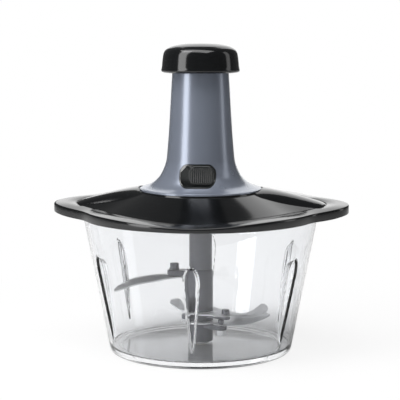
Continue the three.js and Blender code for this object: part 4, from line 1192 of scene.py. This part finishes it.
@dataclass
class BladeSet:
    """The stem with its sleeve and lugs, the three blades, and their pegs."""

    thickness: float = 1.1
    bevel: float = 0.275
    sleeve_radius: float = 10.1
    sleeve_top: float = 66.0
    sleeve_foot: float = 6.7
    tube_radius: float = 9.3
    tube_top: float = 107.0
    spigot_radius: float = 7.2
    spigot_depth: float = 8.0
    socket_depth: float = 14.0
    socket_radius: float = 6.5
    chamfer: float = 1.6
    bush_bore: float = 5.6
    bush_top: float = 19.0
    lug_thickness: float = 4.4
    lug_half: float = 6.0
    lug_root_share: float = 0.9
    shank: float = 1.5
    hub_width: float = 5.4
    upper_reach: float = 69.0
    middle_reach: float = 56.0
    lower_reach: float = 57.0
    tail_reach: float = 24.5
    upper_angle: float = 185.0
    tail_angle: float = 181.0
    room_below: float = 4.0
    room_above: float = 12.0
    sharp: float = 18.0
    gap: float = 0.3

    ARMS = (
        Arm("blade_peg_upper", "upper_peg", 185, 59.8, 21.4, 0.95, 3.5, 5.4, 1.3, 0.6, True),
        Arm("blade_peg_middle", "middle_peg", -36, 31.2, 26.4, 0.62, 3.12, 3.6, 1.1, -0.6),
        Arm("blade_peg_lower", "lower_peg", -40, 23.2, 23.0, 0.8, 2.4, 3.08, 1, 4.5),
        Arm("blade_peg_tail", "tail_peg", 230, 31.2, 15.0, 0.8, 2.4, 8.4, 1.2, -0.6, False, 3.4),
    )
    UPPER = (
        (0.18, -0.08, 0.08, 0, 0), (0.3, -0.083, 0.085, 0.008, -0.01),
        (0.39, -0.085, 0.09, 0.014, -0.02), (0.46, -0.06, 0.115, 0.018, -0.028),
        (0.56, -0.02, 0.16, 0.018, -0.04), (0.68, 0.055, 0.21, 0.012, -0.05),
        (0.8, 0.14, 0.28, 0, -0.066), (0.9, 0.225, 0.335, -0.033, -0.094),
        (0.96, 0.29, 0.36, -0.058, -0.108), (0.99, 0.34, 0.37, -0.082, -0.11),
    )
    MIDDLE = (
        (0.2, -0.37, 0.2, 0, 0), (0.25, -0.37, 0.1, 0, 0), (0.34, -0.37, 0.03, 0, 0),
        (0.45, -0.37, -0.1, 0, 0), (0.57, -0.37, -0.2, 0, 0.002), (0.64, -0.37, -0.195, 0, 0.004),
        (0.7, -0.368, -0.16, 0, 0.01), (0.76, -0.365, -0.075, 0, 0.022),
        (0.82, -0.355, 0.1, 0.004, 0.036), (0.87, -0.33, 0.25, 0.01, 0.045),
        (0.91, -0.25, 0.3, 0.018, 0.046), (0.95, -0.17, 0.21, 0.026, 0.044),
        (0.98, -0.1, 0.08, 0.032, 0.04),
    )
    LOWER = (
        (0.2, -0.26, 0.1, 0, 0), (0.26, -0.3, 0.05, 0, 0), (0.35, -0.32, 0, 0, 0),
        (0.42, -0.31, -0.005, -0.002, 0.02), (0.5, -0.28, 0.01, -0.006, 0.06),
        (0.58, -0.225, 0.045, -0.008, 0.08), (0.65, -0.165, 0.09, -0.01, 0.08),
        (0.74, -0.07, 0.16, -0.008, 0.075), (0.83, 0.03, 0.23, 0, 0.065),
        (0.91, 0.13, 0.295, 0.01, 0.05), (0.96, 0.21, 0.32, 0.018, 0.035),
        (0.99, 0.28, 0.33, 0.024, 0.03),
    )
    TAIL = (
        (-0.45, 0.45, 0.78, 0, 0), (-0.2, 0.47, 0.81, 0, 0.01), (0.05, 0.46, 0.83, 0, 0.02),
        (0.3, 0.4, 0.82, 0.01, 0.07), (0.45, 0.1, 0.81, 0.06, 0.12), (0.58, -0.1, 0.79, 0.2, 0.165),
        (0.68, -0.18, 0.76, 0.34, 0.2), (0.8, -0.15, 0.68, 0.38, 0.25),
        (0.9, -0.08, 0.58, 0.375, 0.29), (0.98, 0, 0.49, 0.367, 0.33),
    )

    def lug_bottom(self, arm: Arm) -> float:
        """Height of a lug's underside: the lug lies over its blade or under it."""
        away = self.thickness / 2 + self.gap
        if arm.lug_over:
            return arm.height + away
        return arm.height - away - self.lug_thickness * arm.lug_share

    def stack_bottom(self, arm: Arm) -> float:
        """Height of the lowest face that an arm's peg goes through."""
        return arm.height - self.thickness / 2 if arm.lug_over else self.lug_bottom(arm)

    def seat(self, arm: Arm) -> float:
        """Height of the face that a peg's head stands on, with a gap."""
        over = self.lug_bottom(arm) + self.lug_thickness * arm.lug_share
        top = over if arm.lug_over else arm.height + self.thickness / 2
        return top + self.gap + arm.seat_rise

    def blade_arm(self, table: Outline, reach: float, height: float, angle: float = 0.0) -> Mesh:
        """One blade arm.

        Each row gives the two edges of a section. The section is flat below, flat above behind the
        ground bevel, and thin at the leading edge. The rows are filled in by a smooth curve.

        Args:
            table: rows of distance out, leading edge, trailing edge and the two edges' rise, as shares.
            reach: length that the shares belong to.
            height: height of the blade's middle.
            angle: plan angle in degrees.

        Returns:
            The closed mesh.
        """
        row = smooth_rows(table, 5) * reach
        x, lead, trail, lead_z, trail_z = row.T[:, :, None]
        half = self.thickness / 2
        across = np.array([0, 0.35, 0.7, 1, 1, 1, 0.7, 0.42, 0.3, 0.15, 0])[None]
        up = np.array([-half] * 4 + [0] + [half] * 4 + [0, self.bevel - half])[None]
        y = lead + (trail - lead) * across
        z = height + lead_z + (trail_z - lead_z) * across + up
        points = capped(np.stack([x + 0 * y, y, z], axis=-1))
        return grid_mesh(turn_about_z(points, angle), False, True)

    def round_at(self, outline: Outline, arm: Arm, steps: int = 40) -> Mesh:
        """A turned piece about the axis of an arm's peg."""
        return turned(outline, False, steps, turn_about_z(np.array([arm.lug_reach, 0, 0]), arm.angle))

    def hole(self, arm: Arm) -> tuple[str, Mesh]:
        """The cut for an arm's peg, through lug and blade."""
        low, high = self.stack_bottom(arm) - 1, self.seat(arm) + self.gap
        return "DIFFERENCE", self.round_at(stairs(0, low, self.shank + self.gap, high, 0), arm, 24)

    def hub(self, height: float) -> tuple[str, Mesh]:
        """The ring that a blade has round the sleeve, as a join."""
        inner, half = self.sleeve_radius + self.gap, self.thickness / 2
        outline = stairs(inner, height - half, inner + self.hub_width, height + half, inner)
        return "UNION", turned(rounded(outline, 0.15, True, 3), True, 96)

    def sleeve_room(self, height: float) -> tuple[str, Mesh]:
        """The cut for the sleeve in a blade."""
        radius = self.sleeve_radius + self.gap
        outline = stairs(0, height - self.room_below, radius, height + self.room_above, 0)
        return "DIFFERENCE", turned(outline, False, 96)

    def lug(self, arm: Arm) -> tuple[str, Mesh]:
        """A lug as a join: a tongue with a round end, its edges softened."""
        turn = np.linspace(-np.pi / 2, np.pi / 2, 24)
        end = self.lug_half * arm.lug_share
        root, side = self.sleeve_radius - self.lug_thickness / 2, self.lug_root_share * self.lug_half
        tip = np.stack([arm.lug_reach + end * np.cos(turn), end * np.sin(turn)], axis=-1)
        outline = np.vstack([[[root, -side]], tip, [[root, side]]])
        low = self.lug_bottom(arm)
        high = low + self.lug_thickness * arm.lug_share
        return "UNION", prism(outline, low, high, 0.5, lambda p: turn_about_z(p, arm.angle))

    def build_stem(self, finishes: Finishes) -> None:
        """Makes the stem tube and the blade sleeve."""
        bottom, shoulder = self.sleeve_top - self.spigot_depth, self.sleeve_top + self.gap
        slope = self.chamfer / 2
        tube = stairs(0, bottom, self.spigot_radius, shoulder, self.tube_radius, self.tube_top - slope)
        tube += stairs(self.tube_radius - slope, self.tube_top, 0)
        socket = stairs(0, self.tube_top - self.socket_depth, self.socket_radius, 120, 0)
        solid = turned(rounded(tube, 0.3, False), False, 96)
        mesh = combined(solid, ("DIFFERENCE", turned(socket, False, 6)))
        finishes.add("stem", mesh, Body.BLADES, Slot.STEM, "stem_tube")
        bore, bore_bottom = self.spigot_radius + self.gap, bottom - self.gap
        outer, top = self.sleeve_radius, self.sleeve_top
        sleeve = stairs(0, self.bush_top, self.bush_bore, self.sleeve_foot, outer, top - self.chamfer)
        sleeve += stairs(outer - slope, top, bore, bore_bottom, 0)
        steps = [*map(self.lug, self.ARMS), *map(self.hole, self.ARMS)]
        mesh = combined(turned(rounded(sleeve, 0.4, False), False, 96), *steps)
        finishes.add("blade_sleeve_part", mesh, Body.BLADES, Slot.STEM, "blade_sleeve")

    def build_blades(self, finishes: Finishes) -> None:
        """Makes the three blades: an arm each, the middle one with a tail, and their cuts."""
        upper, middle, lower, tail = self.ARMS
        tail_mesh = self.blade_arm(self.TAIL, self.tail_reach, tail.height, self.tail_angle)
        middle_joins = [self.hub(middle.height), ("UNION", tail_mesh)]
        blades = (
            (upper, self.UPPER, self.upper_reach, self.upper_angle, [], [upper]),
            (middle, self.MIDDLE, self.middle_reach, 0, middle_joins, [middle, tail]),
            (lower, self.LOWER, self.lower_reach, 0, [self.hub(lower.height)], [lower]),
        )
        for arm, table, reach, angle, joins, holes in blades:
            blade = self.blade_arm(table, reach, arm.height, angle)
            mesh = combined(blade, *joins, self.sleeve_room(arm.height), *map(self.hole, holes))
            side = arm.node.split("_")[0]
            finishes.add(f"blade_{side}", mesh, Body.BLADES, Slot.STEEL, f"{side}_blade", self.sharp)

    def build(self, finishes: Finishes) -> None:
        """Makes the whole blade set."""
        self.build_stem(finishes)
        self.build_blades(finishes)
        for arm in self.ARMS:
            seat, low = self.seat(arm), self.stack_bottom(arm) - arm.shank_below
            top = seat + arm.peg_height
            peg = stairs(0, low, self.shank, seat, arm.peg_radius * arm.foot_share)
            peg += [(arm.peg_radius, seat + 0.3 * arm.peg_height), (arm.peg_radius, top), (0, top)]
            mesh = self.round_at(rounded(peg, 0.6, False), arm)
            finishes.add(arm.piece, mesh, Body.BLADES, Slot.STEM, arm.node)


@dataclass(frozen=True)
class Coil:
    """A coil spring of round wire."""

    radius: float
    wire: float
    turns: float
    bottom: float
    top: float

    def mesh(self) -> Mesh:
        """A tube along a helix: the wire's circle is carried at one height per turn."""
        t = np.linspace(0, 1, int(self.turns * 40) + 1)[:, None]
        side = np.linspace(0, 2 * np.pi, 12, endpoint=False)[None]
        rise = (self.top - self.bottom - 2 * self.wire) * t
        z = self.bottom + self.wire + rise + self.wire * np.sin(side)
        points = around(self.radius + self.wire * np.cos(side), 2 * np.pi * self.turns * t, z)
        return grid_mesh(capped(points), False, True)


class Works:
    """The pieces inside lid and tower: the coils are made, the rest keep their CAD shape."""

    KEPT = {
        Slot.NYLON: ("guide_sleeve", "drive_nut", "spring_seat", "clutch_driver", "latch_bar"),
        Slot.STEM: ("base_plate", "output_coupling"),
        Slot.BRASS: ("rod_bush", "output_bush", "stem_bush"),
        Slot.BLACK: ("hub_cup",),
        Slot.SILICONE: ("output_seal",),
        Slot.STEEL: (
            "tower_screw_1", "tower_screw_2", "tower_screw_3", "cap_screw", "drive_rod", "rod_circlip",
            "latch_screw", "lower_nut",
        ),
    }

    def build(self, finishes: Finishes, nodes: Mapping[str, bpy.types.Object]) -> None:
        """Makes the coils and dresses the kept nodes.

        Args:
            finishes: the object's finishes.
            nodes: the CAD objects by name.
        """
        for slot, names in self.KEPT.items():
            for name in names:
                finishes.dress_node(nodes[name], slot)
        low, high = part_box("clutch_spring")
        coil = Coil(10.0, 0.5, 3, low[2] / MM, high[2] / MM)
        finishes.add("clutch_coil", coil.mesh(), Body.ROD, Slot.STEEL, "clutch_spring")
        low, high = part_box("return_spring")
        coil = Coil(9.4, 0.7, 8, low[2] / MM, high[2] / MM)
        piece = made_object("return_coil", coil.mesh(), finishes.by_slot[Slot.STEEL])
        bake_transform(piece)
        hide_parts("return_spring")


# Studio


@dataclass(frozen=True)
class Softbox:
    """One soft rectangular lamp that faces the object.

    Azimuth is in degrees round the object from the front, positive to the right. Distance and size
    are in metres, power in watts. An unseen lamp is hidden from the eye.
    """

    name: str
    azimuth: float
    elevation: float
    away: float
    size: tuple[float, float]
    power: float
    seen: bool = True
    aim: float = 0.13

    def build(self) -> None:
        """Makes the lamp."""
        a, e = math.radians(self.azimuth), math.radians(self.elevation)
        data = bpy.data.lights.new(self.name, "AREA")
        data.shape = "RECTANGLE"
        data.size, data.size_y = self.size
        data.energy = self.power
        made = bpy.data.objects.new(self.name, data)
        level = self.away * math.cos(e)
        made.location = (level * math.sin(a), -level * math.cos(a), self.aim + self.away * math.sin(e))
        made.rotation_euler = (math.radians(90) - e, 0, a)
        made.visible_camera = made.visible_transmission = self.seen
        bpy.context.scene.collection.objects.link(made)


@dataclass
class Studio:
    """Camera, floor, backdrop and soft light. Sizes of the camera are in millimetres and degrees."""

    azimuth: float = 4.75
    pitch: float = 7.241
    distance: float = 1059.0
    shift: float = 0.475
    rise: float = 256.34
    lens: float = 118.77
    sensor: float = 36.0
    sight: float = 50.0
    level: float = 0.12
    inside: float = 0.26
    left: float = -0.85
    back_left: float = -0.3
    back_right: float = 0.5
    left_gain: float = 1.8
    back_gain: float = 0.9
    floor_size: float = 6.0
    floor_drop: float = 0.0002
    floor_white: float = 0.86
    floor_through: tuple[float, float] = (0.12, 0.74)
    # offset and least white share of the painted shade on the floor seen through the bowl
    floor_painted_shade: tuple[float, float] = (0.55, 0.08)

    LAMPS = (
        Softbox("left_softbox", -52, 28, 0.88, (0.38, 1.25), 7.5),
        Softbox("top_softbox", -20, 72, 1.1, (1.4, 0.7), 13),
        Softbox("right_softbox", 96, 15, 1.4, (0.35, 1.4), 2.2),
        Softbox("back_card", 180, 24, 1.6, (1.0, 1.5), 6.5, False),
    )

    def camera(self) -> None:
        """Stands the camera where the photograph was taken from."""
        a = math.radians(self.azimuth)
        data = bpy.data.cameras.new("photo_camera")
        data.sensor_width = self.sensor
        data.lens = self.lens
        data.clip_end = self.sight
        made = bpy.data.objects.new("photo_camera", data)
        made.location = (
            (-self.shift * math.cos(a) + self.distance * math.sin(a)) * MM,
            (-self.shift * math.sin(a) - self.distance * math.cos(a)) * MM,
            self.rise * MM,
        )
        made.rotation_euler = (math.radians(90 - self.pitch), 0, a)
        bpy.context.scene.collection.objects.link(made)
        bpy.context.scene.camera = made

    def world(self) -> None:
        """White to the eye, and a plain soft light on the object.

        What comes through the clear bowl is brighter than what falls on the outside, and more so from
        the left and from behind.
        """
        made = bpy.data.worlds.new("studio")
        bpy.context.scene.world = made
        graph = Graph(made)
        x, y = graph.axes()
        side = (x * self.left + y * self.back_left).most(0.0) * self.left_gain
        side += y.most(0.0) * self.back_gain
        through = (self.inside + side).least(1.0) - self.level
        seen = (1.0 - self.level) * graph.rays("Camera")
        strength = self.level + seen.most(through * graph.rays("Transmission"))
        inputs = {"Color": (1, 1, 1, 1), "Strength": strength}
        graph.surface("ShaderNodeBackground", inputs, "ShaderNodeOutputWorld")

    def floor(self) -> None:
        """A pale floor, white to the eye far away, that keeps a faint shadow near the object.

        Through the clear bowl it is darker near the object, where less white is mixed in, and a painted
        shade makes it darker to the right than to the left.
        """
        size = self.floor_size
        mesh = bpy.data.meshes.new("floor")
        corners = [(-size, -size, 0), (size, -size, 0), (size, size, 0), (-size, size, 0)]
        mesh.from_pydata(corners, [], [range(4)])
        made = bpy.data.objects.new("floor", mesh)
        made.location = (0, 0, -self.floor_drop)
        bpy.context.scene.collection.objects.link(made)
        material = bpy.data.materials.new("pale_floor")
        graph = Graph(material)
        grain = graph.noise(graph.place(), 3.0)
        grey = graph.blend(grain, (0.84,) * 3, (0.86,) * 3)
        pale = graph.value("ShaderNodeBsdfDiffuse", 0, {"Color": grey})
        white = graph.value("ShaderNodeEmission", 0, {"Color": (1, 1, 1, 1), "Strength": 1.0})
        distance = graph.value("ShaderNodeVectorMath", "Value", {0: graph.place()}, operation="LENGTH")
        away = (distance * 4.0 - 0.4).most(0.0).least(1.0)
        x, y = graph.axes()
        (base, far), (turn, least) = self.floor_through, self.floor_painted_shade
        # painted shade: seen through the bowl, the floor gets less white towards the right and the front
        toward = x * self.left + y * self.back_right
        side = (toward / distance.most(0.01) + turn).most(least).least(1.0)
        seen = graph.rays("Camera") * (self.floor_white + (1 - self.floor_white) * away)
        through = graph.rays("Transmission") * (base + far * away) * side
        graph.surface("ShaderNodeMixShader", {0: seen.most(through), 1: pale, 2: white})
        mesh.materials.append(material)

    def build(self) -> None:
        """Sets the whole studio."""
        self.camera()
        self.floor()
        self.world()
        for lamp in self.LAMPS:
            lamp.build()


def main() -> None:
    """Builds the object on its frame and sets the studio."""
    logging.basicConfig(level=logging.INFO, format="%(name)s: %(message)s")
    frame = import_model()
    bpy.context.scene.view_settings.view_transform = "Standard"
    Studio().build()
    finishes = Finishes()
    bowl = Bowl()
    tower = Tower()
    bowl.build(finishes)
    Lid(bowl).build(finishes)
    tower.build(finishes)
    Cap().build(finishes)
    Lock(tower).build(finishes)
    BladeSet().build(finishes)
    Works().build(finishes, frame["nodes"])


if __name__ == "__main__":
    main()
